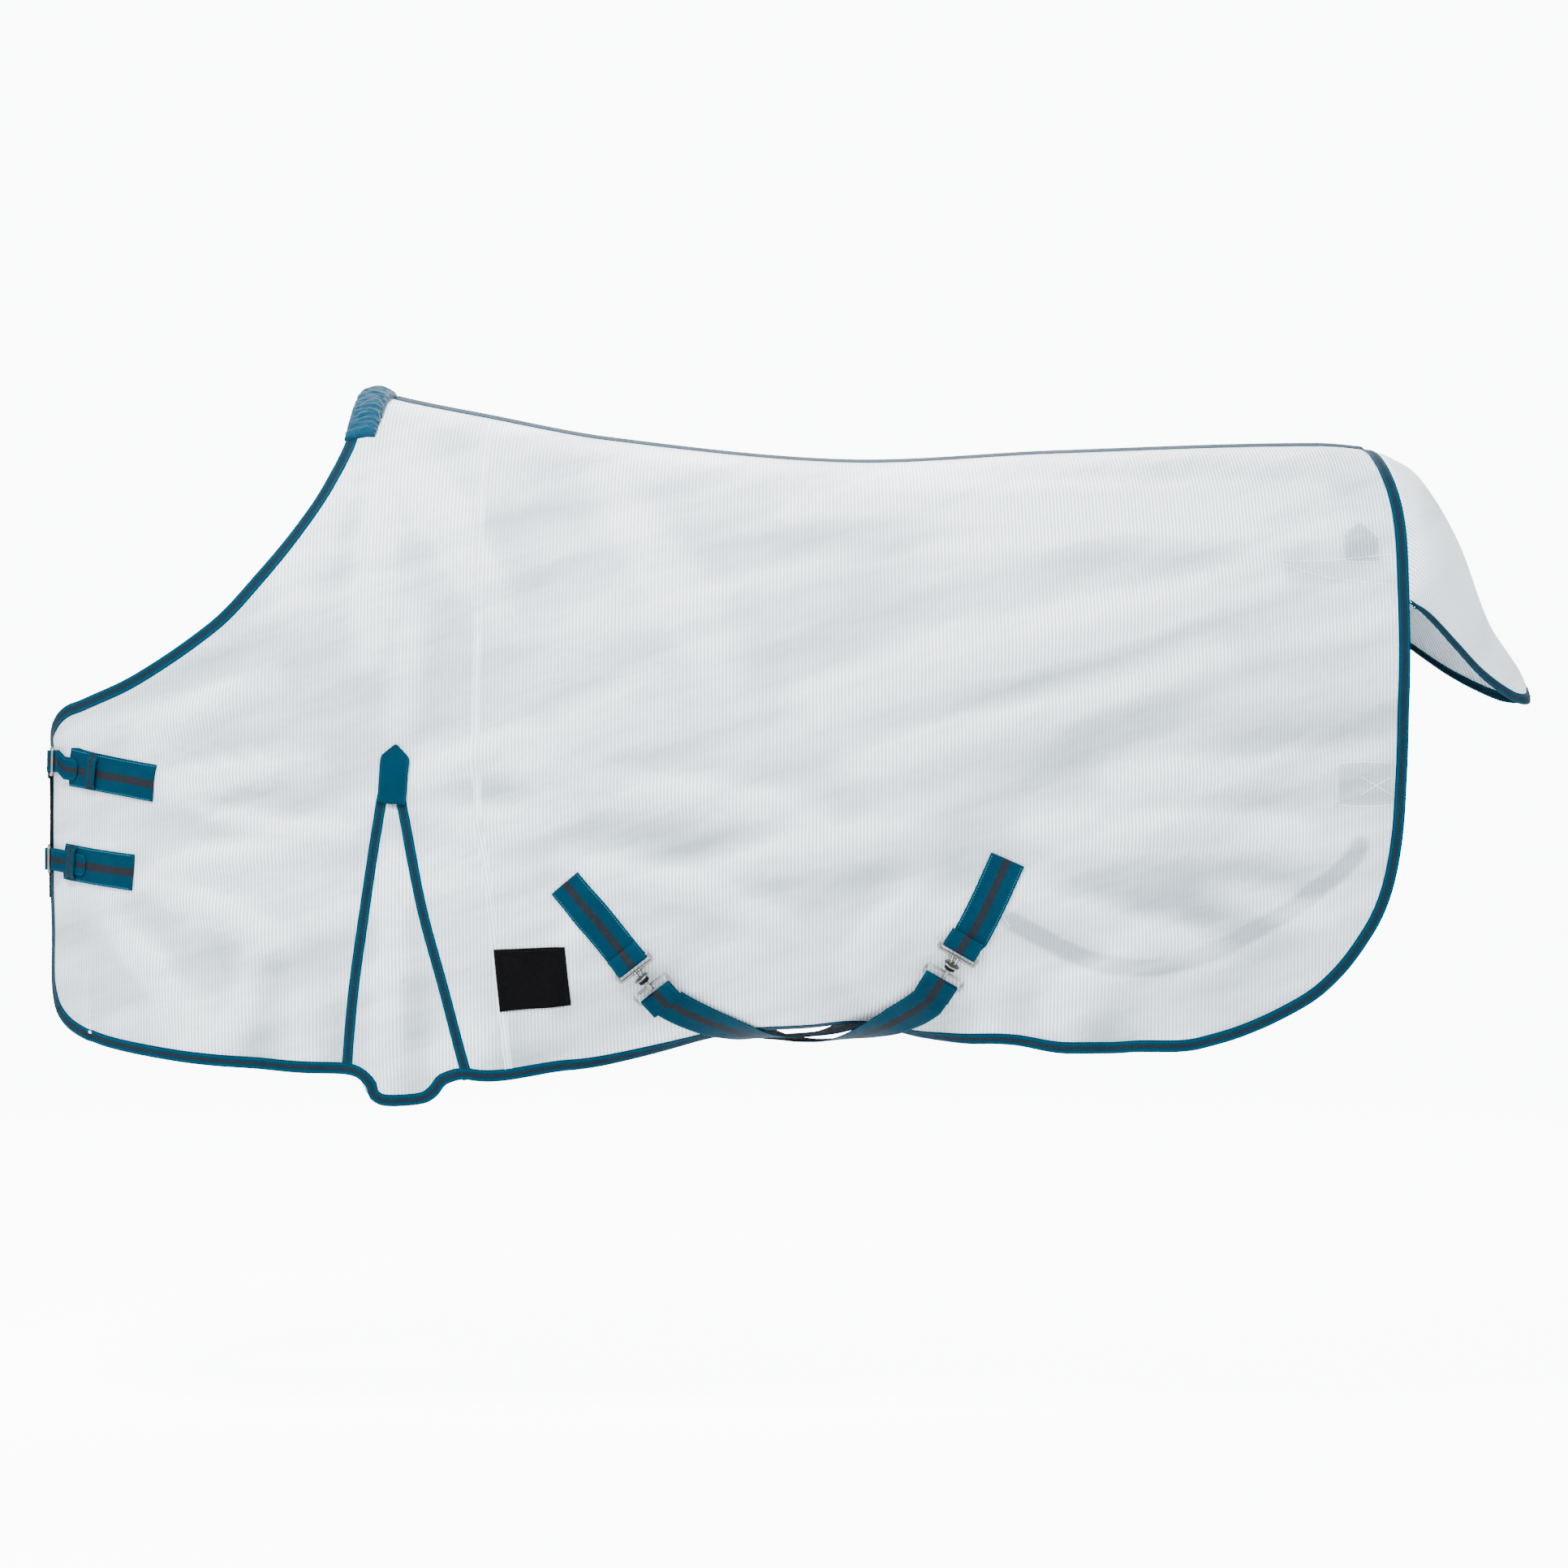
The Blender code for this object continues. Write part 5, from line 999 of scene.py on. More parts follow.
LIFT, FIT, RAIL = 0.0009, 0.0005, 0.0022
HOOK_UP, STEM_UP, EYE_UP, EYE_BACK, EYE_FRONT = 0.0088, 0.0164, 0.0102, 0.0540, 0.0385
FRAME_WIDE, FRAME_LONG, CORNER = WEB + 0.0108, 0.0155, 0.0026
BAR_UP, BAR_TILT = 0.0078, math.radians(11)
BUCKLE_LONG, BUCKLE_WIDE, BUCKLE_WIRE = 0.030, 0.043, 0.0021
CLIP_UP = -0.0125
STRAP_OFF, GIRTH = 0.008, 0.4
SEWN, ON_CLOTH = 0.0010 + LIFT + WEB_THICK / 2, 0.0010 + LIFT + THIN / 2
CHEST_POINTS = {
    "upper": [(-0.459, -0.545), (-0.4245, -0.549), (-0.360, -0.559), (-0.292, -0.570)],
    "lower": [(-0.466, -0.677), (-0.441, -0.681), (-0.385, -0.689), (-0.325, -0.696)]}
KEEPER_AT = {"upper": 0.092, "lower": 0.062}
SURCINGLE_POINTS = {
    "front": [(0.296, -0.706), (0.342, -0.762), (0.387, -0.818), (0.404, -0.838)],
    "rear": [(0.910, -0.673), (0.882, -0.736), (0.850, -0.798), (0.834, -0.821)]}
BELLY = {
    "front": [(0.440, -0.874), (0.480, -0.896), (0.530, -0.917), (0.580, -0.931), (0.625, None),
              (0.670, -0.930), (0.720, -0.915), (0.770, -0.892), (0.806, -0.862), (0.838, -0.817)],
    "rear": [(0.806, -0.868), (0.770, -0.892), (0.720, -0.914), (0.670, -0.930), (0.625, None),
             (0.580, -0.931), (0.530, -0.916), (0.480, -0.893), (0.440, -0.868), (0.404, -0.832)]}
LEG_POINTS = [(1.423, -0.540), (1.411, -0.604), (1.399, -0.662), (1.355, -0.706), (1.290, -0.752),
              (1.205, -0.797), (1.120, -0.822), (1.020, -0.811), (0.908, -0.755)]


class Line:
    """A drawn line on the cloth, with its places known by the distance along it."""

    def __init__(self, points):
        self.q, self.v = path_on(points, 0.004)
        self.spots = draped(self.q, self.v)
        steps = np.linalg.norm(np.diff(self.spots, axis=0), axis=1)
        self.run = np.r_[0, np.cumsum(steps)]
        self.length = self.run[-1]

    def near_to(self, spot):
        return self.run[int(np.argmin(np.linalg.norm(self.spots - np.array(spot), axis=1)))]

    def at(self, a):
        return np.interp(a, self.run, self.q), np.interp(a, self.run, self.v)

    def rings(self, start, end, width, off, thick, far=False, swap=False, step=0.004):
        a = np.linspace(start, end, max(int(abs(end - start) / step), 3))
        level = off(a) if callable(off) else off
        rings = strip_rings(*self.at(a), -width / 2, width / 2, level, thick, far)[0]
        return [tuple(part[::-1] for part in ring) for ring in rings] if swap else rings


def joint(name):
    return next(j for j in frame["joints"] if j["name"] == name)


def framed(origin, x_axis, y_axis, up):
    """A frame whose origin is moved down from a joint to the cloth."""
    x, y = Vector(x_axis).normalized(), Vector(y_axis).normalized()
    z = x.cross(y).normalized()
    turned = Matrix((x, z.cross(x), z)).transposed().to_4x4()
    turned.translation = Vector(origin) - z * up
    return turned


def clip_frame(name):
    hinge = joint(f"surcingle_hook_{name}_tilt")
    way = joint(f"rubber_ring_{name}_slide")["axis"]
    return framed(hinge["pos_m"], way, hinge["axis"], HOOK_UP)


def buckle_frame(level):
    hinge = joint(f"chest_buckle_{level}_tilt")
    spot, y = Vector(hinge["pos_m"]), Vector(hinge["axis"]).normalized()
    out = Vector(outward(along(spot.x), around(np.array(spot.x), np.array(spot.z))))
    return framed(spot, y.cross(out), y, BAR_UP)


def leg_frame():
    hinge = joint("leg_ring_near_tilt")
    return framed(hinge["pos_m"], joint("leg_clip_near_swivel")["axis"], hinge["axis"], CLIP_UP)


def stitched(name, line, spans, off, far=False, look="thread"):
    """Rows of stitches on a sewn strap: spans holds (start, end, side) in metres."""
    parts = []
    for start, end, side in spans:
        a = np.linspace(start, end, max(int(abs(end - start) / 0.004), 3))
        parts.append(stitches(*line.at(a), side, off, far))
    piece(name, *join(parts)[:2], LOOKS[look])


def build_chest(props):
    for level in ("upper", "lower"):
        line, matrix = Line(CHEST_POINTS[level]), buckle_frame(level)
        fold = 0.0018 + FIT + THIN / 2
        path = [(0.027, ON_CLOTH + THIN + 0.0006), (0.0105, ON_CLOTH + THIN + 0.0006),
                (0.0045, BAR_UP + 0.0011)]
        path += bend(0, BAR_UP, fold, 78, 270) + [(0.010, ON_CLOTH + 0.0006), (0.019, ON_CLOTH)]
        rings = frame_rings(matrix, path, BILLET, THIN)
        rings += line.rings(0.030, 0.041, BILLET, ON_CLOTH, THIN)
        narrow = len(rings)
        rings += line.rings(0.043, line.length, CHEST_WEB, ON_CLOTH, THIN)
        halves = np.array([BILLET / 2] * narrow + [CHEST_WEB / 2] * (len(rings) - narrow))
        lofted(f"chest_patch_{level}", rings, EDGE * halves[:, None], "chest", "webbing",
               f"chest_strap_{level}")
        far = line.rings(line.length, 0.043, CHEST_WEB, ON_CLOTH, THIN, True, True)
        wide = len(far)
        far += line.rings(0.040, 0.004, BILLET, 0.0038, THIN, True, True)
        x0, z0 = CHEST_POINTS[level][0]
        mid_q, height = float(along(x0)), z0 * DEEP
        for q in np.linspace(-mid_q + 0.002, mid_q - 0.024, 26):
            v = around(plan(np.abs(q))[0], height + EDGE * BILLET / 2)
            spots, outs = body(q, v), outward(q, v)
            lift = (THIN / 2 * FULL)[:, None]
            far.append((spots + outs * (0.0039 + lift), spots + outs * (0.0039 - lift)))
        over = ON_CLOTH + 2 * THIN + 0.0014
        path = [(-0.0132, BAR_UP + 0.0015), (-0.0035, BAR_UP + 0.0056), (0.0012, BAR_UP + 0.0054),
                (0.0055, BAR_UP + 0.0026), (0.0108, over), (0.027, over)]
        near = frame_rings(matrix, rounded_path(path), BILLET, THIN)
        end = 0.052 if level == "upper" else KEEPER_AT[level] + 0.021
        rest = lambda a: np.interp(a, [0.034, 0.046], [over - 0.0002, ON_CLOTH + THIN + 0.0007])
        tail = line.rings(0.034, end, BILLET, rest, THIN)
        tip = []
        for ring, f in zip(line.rings(end + 0.001, end + 0.009, BILLET, rest, THIN, step=0.001),
                           np.linspace(0.15, 0.98, 8)):
            mids = [part.mean(0) for part in ring]
            squeeze = math.sqrt(1 - f**2)
            tip.append(tuple(mid + (part - mid) * squeeze for mid, part in zip(mids, ring)))
        rings = far + near + tail + tip
        halves = np.array([CHEST_WEB / 2] * wide + [BILLET / 2] * (len(rings) - wide))
        lofted(f"chest_billet_{level}_strap", rings, EDGE * halves[:, None], "billet", "webbing",
               f"chest_billet_{level}")
        keeper(level, line)
        box = [(0.046, line.length - 0.002, side) for side in (-0.0235, 0.0235)]
        stitched(f"chest_stitches_{level}", line, box, ON_CLOTH + THIN / 2)
        buckle(level, matrix)
    rings = []
    for z in np.linspace(-0.522, -0.735, 44) * DEEP:
        reach = 0.047 + 0.015 * math.sqrt(max(0, 1 - ((z / DEEP + 0.612) / 0.082) ** 2))
        q = np.interp(EDGE, (-1, 1), (-0.047, reach))
        v = around(plan(np.abs(q))[0], np.full_like(q, z))
        spots, outs = body(q, v), outward(q, v)
        lift = np.interp(q, (0.034, 0.044), (-0.0005, 0.0032))[:, None]
        rings.append((spots + outs * (lift + 0.0006), spots + outs * (lift - 0.0006)))
    lofted("chest_facing", rings, EDGE * FRONT_GAP, "facing", "facing", "chest_lining")


def keeper(level, line):
    low = ON_CLOTH + THIN + 0.0007
    b = np.array([-0.0258, -0.0225, -0.0212, -0.0200, -0.0184, -0.017, -0.012, 0, 0.012, 0.017,
                  0.0184, 0.0200, 0.0212, 0.0225, 0.0258])
    up = low + np.array([0, 0, 0.0001, 0.0012, 0.0026, 0.0031, 0.0035, 0.0038, 0.0035, 0.0031,
                         0.0026, 0.0012, 0.0001, 0, 0])
    rings = []
    for a in np.linspace(KEEPER_AT[level] - 0.009, KEEPER_AT[level] + 0.009, 9):
        places = line.at(np.full(3, a) + np.array([-0.002, 0, 0.002]))
        base = strip_rings(*places, -0.0258, 0.0258, 0.0, 0.0002, False)[0][1]
        spots = np.stack([np.interp(b, EDGE * 0.0258, (base[0] + base[1])[:, k] / 2)
                          for k in range(3)], -1)
        outs = unit(np.stack([np.interp(b, EDGE * 0.0258, (base[0] - base[1])[:, k])
                              for k in range(3)], -1))
        fade = 0.0007 * np.array([0.4] + [1] * 13 + [0.4])[:, None]
        rings.append((spots + outs * (up[:, None] + fade), spots + outs * (up[:, None] - fade)))
    verts, faces, uvs = loft(rings, b)
    uvs = uvs[:, ::-1] - np.array([0.009, 0])
    made = piece(f"keeper_{level}", verts, faces, LOOKS["leg"], uvs)
    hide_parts(f"chest_keeper_{level}")


def buckle(level, matrix):
    turned = matrix @ Matrix.Translation((0, 0, BAR_UP)) @ Matrix.Rotation(-BAR_TILT, 4, "Y")
    loop = tube(rounded_loop(BUCKLE_LONG - 2 * BUCKLE_WIRE, BUCKLE_WIDE - 2 * BUCKLE_WIRE, 0.0065),
                BUCKLE_WIRE, 16, True)
    half = BUCKLE_WIDE / 2 - BUCKLE_WIRE
    bar = tube([(0, half * share, 0) for share in (-1, -0.5, 0, 0.5, 1)], 0.0018)
    made = piece(f"buckle_{level}", *join([moved(loop, turned), moved(bar, turned)])[:2],
                 LOOKS["steel"], body_name=f"chest_buckle_{level}")
    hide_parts(f"chest_buckle_{level}")


def hook(name, matrix):
    """The surcingle's hook: a webbing frame, a dimpled neck, a thumb disc, a stem and its hook."""
    turned = matrix @ Matrix.Translation((0, 0, HOOK_UP))
    front, rise = FRAME_LONG - 2 * RAIL, STEM_UP - HOOK_UP
    loop = rounded_loop(FRAME_LONG - 2 * RAIL, FRAME_WIDE - 2 * RAIL, CORNER)
    parts = [tube(loop + np.array([front / 2, 0, 0]), RAIL, 16, True)]
    at = front + 0.0085
    for y in (-0.0033, 0.0033):
        parts.append(tube([(front - 0.001, y * 1.25, 0.0004), (front + 0.003, y * 1.1, 0.0014),
                           (front + 0.006, y, rise * 0.62), (at + 0.0006, y * 0.8, rise)],
                          0.0033, 14, flat=0.62))
    parts.append(lathe([(0, 0.002), (0, 0.0095), (0.0003, 0.0109), (0.0009, 0.0115),
                        (0.0019, 0.0115), (0.0025, 0.0109), (0.0028, 0.0095), (0.0028, 0.002)],
                       (at, 0, rise), (1, 0, 0), 48))
    stem = at + 0.0124
    parts.append(lathe([(0, 0.0005), (0, 0.0040), (0.0108, 0.0040), (0.0114, 0.0034),
                        (0.0114, 0.0005)], (at + 0.001, 0, rise), (1, 0, 0), 28))
    radius = STEM_UP - EYE_UP
    path = [(stem - 0.001, rise), (stem + 0.003, rise)] + bend(EYE_FRONT, EYE_UP - HOOK_UP, radius,
                                                              90, -40, 16)
    size = np.r_[np.full(len(path) - 3, 0.0022), 0.0021, 0.0017, 0.0010]
    parts.append(tube([(x, 0, z) for x, z in path], size, 16, flat=1.35))
    made = piece(f"hook_clip_{name}", *join([moved(part, turned) for part in parts])[:2],
                 LOOKS["steel"], body_name=f"surcingle_hook_{name}")
    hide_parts(f"surcingle_hook_{name}")


def build_surcingles(props):
    lines = {name: Line(points) for name, points in SURCINGLE_POINTS.items()}
    for name, line in lines.items():
        matrix, fold = clip_frame(name), RAIL + FIT + WEB_THICK / 2
        origin = line.near_to(matrix.translation)
        path = [(-0.012, SEWN + 0.0014)] + bend(0, HOOK_UP, fold, -90, 90)
        path += [(-0.004, HOOK_UP + fold - 0.0004), (-0.014, SEWN + WEB_THICK + 0.0026),
                 (-0.024, SEWN + WEB_THICK + 0.0018)]
        rings = line.rings(0.0, origin - 0.024, WEB, SEWN, WEB_THICK)
        lofted(f"surcingle_{name}", rings + frame_rings(matrix, path, WEB, WEB_THICK),
               EDGE * (WEB / 2), "webbing", "webbing", f"surcingle_patch_{name}")
        spans = [(0.003, origin - 0.030, side) for side in (-0.0222, 0.0222)]
        stitched(f"surcingle_stitches_{name}", line, spans, SEWN + WEB_THICK / 2)
        hook(name, matrix)
        other = lines["rear" if name == "front" else "front"]
        belly_strap(name, matrix, other)


def belly_strap(name, matrix, other):
    fold = RAIL + FIT + WEB_THICK / 2
    path = [(EYE_BACK + 0.026, EYE_UP + 0.0010), (EYE_BACK + 0.010, EYE_UP + 0.0024)]
    path += bend(EYE_BACK, EYE_UP, fold, 80, 270)
    path += [(EYE_BACK + 0.010, EYE_UP - 0.0034), (EYE_BACK + 0.022, EYE_UP - 0.0040)]
    places = []
    for k, (x, z) in enumerate(BELLY[name]):
        v = 2.0 if z is None else float(around(np.array(x * LONG), np.array(z * DEEP)))
        places.append((x * LONG, GIRTH * (4 - v if k > 4 else v)))
    f = np.linspace(0, 1, 130)
    spots = spaced(places)(f)
    x, v = spots[:, 0], spots[:, 1] / GIRTH
    lift = np.full_like(f, STRAP_OFF) + 0.003 * np.maximum(0, 1 - np.abs(f * 26 - 17) / 3)
    lift += 0.004 * np.clip((x - 0.69) / 0.06, 0, 1)
    if name == "rear":
        lift += 0.007 * np.sqrt(np.maximum(0, 1 - np.abs(v - 2) / 0.35))
    lift -= (STRAP_OFF - SEWN - 0.002) * np.maximum(0, f * 6 - 5)
    q, safe = along(x), np.where(np.abs(v - 2) < 0.02, 2 + np.sign(v - 2 + 1e-9) * 0.02, v)
    flip = np.where(v > 2, -1.0, 1.0)
    inner = np.where(v > 2, 4 - v, v)
    outs = outward(q, np.where(v > 2, 4 - safe, safe))
    outs[:, 1] *= flip
    outs[np.abs(v - 2) < 0.02] = (0, 0, -1)
    middle = body(q, inner) * np.stack([np.ones_like(f), flip, np.ones_like(f)], -1)
    middle += outs * lift[:, None]
    for _ in range(3):
        outs[1:-1] = unit(outs[:-2] + outs[1:-1] * 2 + outs[2:])
        middle[1:-1] = (middle[:-2] + middle[1:-1] * 2 + middle[2:]) / 4
    side = unit(np.cross(outs, unit(np.gradient(middle, axis=0))))
    across = (EDGE * WEB / 2)[None, :, None]
    half = (WEB_THICK / 2 * FULL)[None, :, None]
    line_points = middle[:, None] + side[:, None] * across
    rings = list(zip(line_points + outs[:, None] * half, line_points - outs[:, None] * half))
    anchor = other.rings(other.length - 0.016, 0.0, WEB, SEWN + 0.0001, WEB_THICK, True, True)
    rings = frame_rings(matrix, path, WEB, WEB_THICK) + rings + anchor
    lofted(f"belly_webbing_{name}", rings, EDGE * (WEB / 2), "webbing", "webbing",
           f"belly_strap_{name}")


def build_legs(props):
    line, matrix = Line(LEG_POINTS), leg_frame()
    inside = -(0.0010 + LIFT + THIN / 2)
    ring_fold, loop_fold = 0.0017 + FIT + THIN / 2, 0.0018 + FIT + THIN / 2
    origin = line.near_to(matrix.translation)
    narrow = [(-0.022, inside - 0.0012), (-0.008, CLIP_UP + ring_fold + 0.0006)]
    narrow += bend(0, CLIP_UP, ring_fold, 90, -90)
    narrow += [(-0.008, CLIP_UP - ring_fold + 0.0006), (-0.022, inside - THIN - 0.0030),
               (-0.032, inside - THIN - 0.0012)]
    bar = 0.0525 + 0.0095
    path = [(bar + 0.024, CLIP_UP + 0.0020), (bar + 0.009, CLIP_UP + 0.0022)]
    path += bend(bar, CLIP_UP, loop_fold, 80, 270)
    path += [(bar + 0.010, CLIP_UP - 0.0016), (bar + 0.024, CLIP_UP - 0.0006)]
    start, end = origin + bar + 0.040, line.length - 0.002
    level = lambda a: np.interp(a, [start, end - 0.22, end - 0.05, end],
                                [CLIP_UP, CLIP_UP, inside, inside])
    for side, far in (("near", False), ("far", True)):
        flipped = (lambda rings: [tuple(mirror(p) for p in r) for r in rings]) if far else list
        wide = line.rings(0.004, origin - 0.030, 0.052, inside, THIN, far)
        tail = flipped(frame_rings(matrix, narrow, LEG_WEB, THIN))
        halves = np.array([0.026] * len(wide) + [LEG_WEB / 2] * len(tail))
        lofted(f"ring_patch_{side}", wide + tail, EDGE * halves[:, None], "cloth", "mesh",
               f"leg_patch_{side}")
        rings = flipped(frame_rings(matrix, path, LEG_WEB, THIN))
        rings += line.rings(start, end, LEG_WEB, level, THIN, far)
        lofted(f"leg_webbing_{side}", rings, EDGE * (LEG_WEB / 2), "leg", "webbing",
               f"leg_strap_{side}")


# ---- Tail flap ----------------------------------------------------------------------------------

FLAP_REACH, FLAP_DROP, FLAP_GAP = 0.246, 0.372, 0.0012
FLAP_COLS, FLAP_ROWS = 121, 61
DRAWN_REACH, DRAWN_DROP = 0.246, 0.372
RIDGE = [(1.462, -0.080), (1.482, -0.084), (1.530, -0.110), (1.590, -0.202), (1.638, -0.322),
         (1.690, -0.404), (1.704, -0.440)]
FREE = [(1.704, 0.0, -0.440), (1.694, -0.030, -0.452), (1.668, -0.058, -0.449),
        (1.612, -0.110, -0.420), (1.560, -0.165, -0.380), (1.520, -0.207, -0.347),
        (1.486, -0.243, -0.322)]
DOCK = (1.458, -0.080)
FLAP_T = float(place_of([(1.476, -0.315)])[1][0])
ridge_line, free_line = spaced(RIDGE), spaced(FREE)


def stretched(x, z):
    """A drawn place on the flap, moved out from the dock as far as the flap reaches."""
    return (DOCK[0] * LONG + (x - DOCK[0]) * FLAP_REACH / DRAWN_REACH,
            DOCK[1] * DEEP + (z - DOCK[1]) * FLAP_DROP / DRAWN_DROP)


def flap_point(u, w):
    """On the flap: u from -1 near to 1 far, and w from the rear edge to the free edge."""
    u, w = np.broadcast_arrays(np.asarray(u, float), np.asarray(w, float))
    side, span = np.where(u < 0, -1.0, 1.0), np.abs(u)
    flip = np.stack([np.ones_like(u), -side, np.ones_like(u)], -1)
    t = span * FLAP_T
    q, v = spread(np.ones_like(t), t)
    held = body(q, v)
    q, v = spread(np.full_like(t, 0.998), t)
    held = (held + unit(held - body(q, v)) * FLAP_GAP) * flip
    free = free_line(span)
    x, z = stretched(free[..., 0], free[..., 2])
    free = np.stack([x, side * np.abs(free[..., 1]), z - 0.11 * free[..., 1] * (u > 0)], -1)
    ridge = ridge_line(w)
    ridge_x, ridge_z = stretched(ridge[..., 0], ridge[..., 1])
    (x0, z0), (x1, z1) = stretched(*RIDGE[0]), stretched(*RIDGE[-1])
    rise = np.stack([ridge_x - x0 - (x1 - x0) * w, 0 * w, ridge_z - z0 - (z1 - z0) * w], -1)
    swell = np.stack([0.10 + 0 * u, side * 0.35, 0.10 + 0 * u], -1)
    swell = swell * (np.sin(math.pi * w) * span * (1 - span) * 0.30)[..., None]
    soft = 0.0035 * np.sin(9 * span + 4 * w) * np.sin(math.pi * w) * span
    swell = swell + np.stack([soft * 0, side * soft, soft], -1)
    w = w[..., None]
    return held * (1 - w) + free * w + rise * ((1 - span) ** 1.3)[..., None] + swell


def flap_outs(u, w, step=0.004):
    u, w = np.clip(u, step - 1, 1 - step), np.clip(w, step, 1 - step)
    across = flap_point(u + step, w) - flap_point(u - step, w)
    return unit(np.cross(across, flap_point(u, w + step) - flap_point(u, w - step)))


def build_flap(props):
    u = np.linspace(-1, 1, FLAP_COLS)
    whole = np.linalg.norm(flap_point(u, 1.0) - flap_point(u, 0.9), axis=-1) / 0.1
    w = np.linspace(0, 1, FLAP_ROWS)[None, :] * (1 - 0.003 / whole)[:, None]
    grid_u = np.repeat(u[:, None], FLAP_ROWS, 1)
    verts = flap_point(grid_u, w)
    uvs = np.stack([grid_u * 0.27, w * 0.30], -1).reshape(-1, 2)
    made = thin(piece("flap_cloth", verts.reshape(-1, 3), grid_faces(FLAP_COLS, FLAP_ROWS),
                      LOOKS["cloth"], uvs, body_name=""))
    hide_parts("tail_flap")
    fine = np.linspace(-0.999, 0.999, 180)
    whole = np.linalg.norm(flap_point(fine, 1.0) - flap_point(fine, 0.9), axis=-1) / 0.1
    across = 1 - (EDGE_TAPE / whole)[:, None] * (1 - EDGE) / 2
    grid_u = np.repeat(fine[:, None], len(EDGE), 1)
    spots, outs = flap_point(grid_u, across), flap_outs(grid_u, across)
    half = (0.0019 * FULL)[None, :, None]
    rings = list(zip(spots + outs * half, spots - outs * half))
    tape = lofted("flap_tape", rings, EDGE * EDGE_TAPE / 2, "tape", "tape", "tail_flap_binding",
                  body_name="")
    for made in (made, tape):
        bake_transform(made)


# ---- Patches and seams --------------------------------------------------------------------------

def patch(name, points, halves, off, thick, look, node, far, slot):
    """A flat patch along drawn points: halves gives its half width by the share of its length."""
    q, v = path_on(points, 0.003)
    half = np.interp(np.linspace(0, 1, len(q)), *zip(*halves))
    lofted(name, *strip_rings(q, v, -half, half, off, thick, far), look, slot, node)


def stitch_path(points, off, far=False):
    """A row of stitches along drawn points."""
    return stitches(*path_on(points, 0.005), 0.0, off, far)


def build_patches(props):
    for side, far in (("near", False), ("far", True)):
        patch(f"gusset_point_{side}", [(0.0575, -0.513), (0.050, -0.597)],
              [(0, 0.0015), (0.2, 0.020), (0.28, 0.0215), (1, 0.0205)], 0.0036, 0.0016, "patch",
              f"gusset_patch_{side}", far, "webbing")
        patch(f"tail_point_{side}", [(1.412, -0.197), (1.412, -0.258)],
              [(0, 0.001), (0.42, 0.025), (1, 0.0265)], -0.0020, 0.0014, "cloth",
              f"tail_patch_{side}", far, "mesh")
        lines = [[(1.386, -0.257), (1.386, -0.223), (1.411, -0.199)],
                 [(1.411, -0.199), (1.437, -0.223), (1.437, -0.257)],
                 [(1.438, -0.257), (1.412, -0.258), (1.386, -0.257)],
                 [(1.286, -0.258), (1.365, -0.256), (1.452, -0.247)],
                 [(1.286, -0.260), (1.365, -0.281), (1.456, -0.290)],
                 [(1.370, -0.540), (1.410, -0.538), (1.452, -0.540)],
                 [(1.370, -0.598), (1.410, -0.600), (1.452, -0.598)],
                 [(1.370, -0.540), (1.370, -0.570), (1.370, -0.598)],
                 [(1.404, -0.559), (1.425, -0.571), (1.448, -0.584)],
                 [(1.404, -0.584), (1.425, -0.571), (1.448, -0.559)],
                 [(0.898, -0.742), (0.906, -0.754), (0.914, -0.768)]]
        made = piece(f"patch_stitches_{side}",
                     *join([stitch_path(line, 0.0011, far) for line in lines])[:2],
                     LOOKS["pale_thread"])
    patch("label", [(0.1985, -0.8465), (0.299, -0.8395)], [(0, 0.0445), (1, 0.0425)], 0.0021,
          0.0016, "facing", "label_patch", False, "facing")
    edge = [[(0.202, -0.804), (0.250, -0.802), (0.295, -0.800)],
            [(0.202, -0.889), (0.250, -0.885), (0.297, -0.880)],
            [(0.202, -0.804), (0.202, -0.845), (0.202, -0.889)],
            [(0.295, -0.800), (0.296, -0.840), (0.297, -0.880)]]
    made = piece("label_stitches", *join([stitch_path(line, 0.0030) for line in edge])[:2],
                 LOOKS["rubber"])


STEEL_NODES = ["surcingle_eye_front", "surcingle_eye_rear", "belly_slider_front",
               "belly_slider_rear"]
STEEL_NODES += [f"leg_{kind}_{side}" for kind in ("ring", "eye", "clip", "gate", "slider")
                for side in ("near", "far")]
ROUND_NODES = ("surcingle_eye", "leg_ring")


def build_metal(props):
    """The fittings whose CAD shape is right get their metal, and a softer outline."""
    for name in STEEL_NODES + ["rubber_ring_front", "rubber_ring_rear"]:
        made = frame["nodes"][name]
        look = LOOKS["rubber" if name.startswith("rubber") else "steel"]
        for slot in made.material_slots:
            slot.material = look
        if name.startswith(ROUND_NODES):
            soft = made.modifiers.new("round", "SUBSURF")
            soft.levels = soft.render_levels = 2
        else:
            bevel = made.modifiers.new("edges", "BEVEL")
            bevel.width, bevel.segments, bevel.limit_method = 0.0004, 2, "ANGLE"
            bevel.angle_limit = math.radians(40)


# ---- Stage --------------------------------------------------------------------------------------


FLOOR, FLAT_RADIUS, SWEEP, WALL_TOP, BOWL_SIDES = -1.5, 6.0, 2.5, 8.0, 96


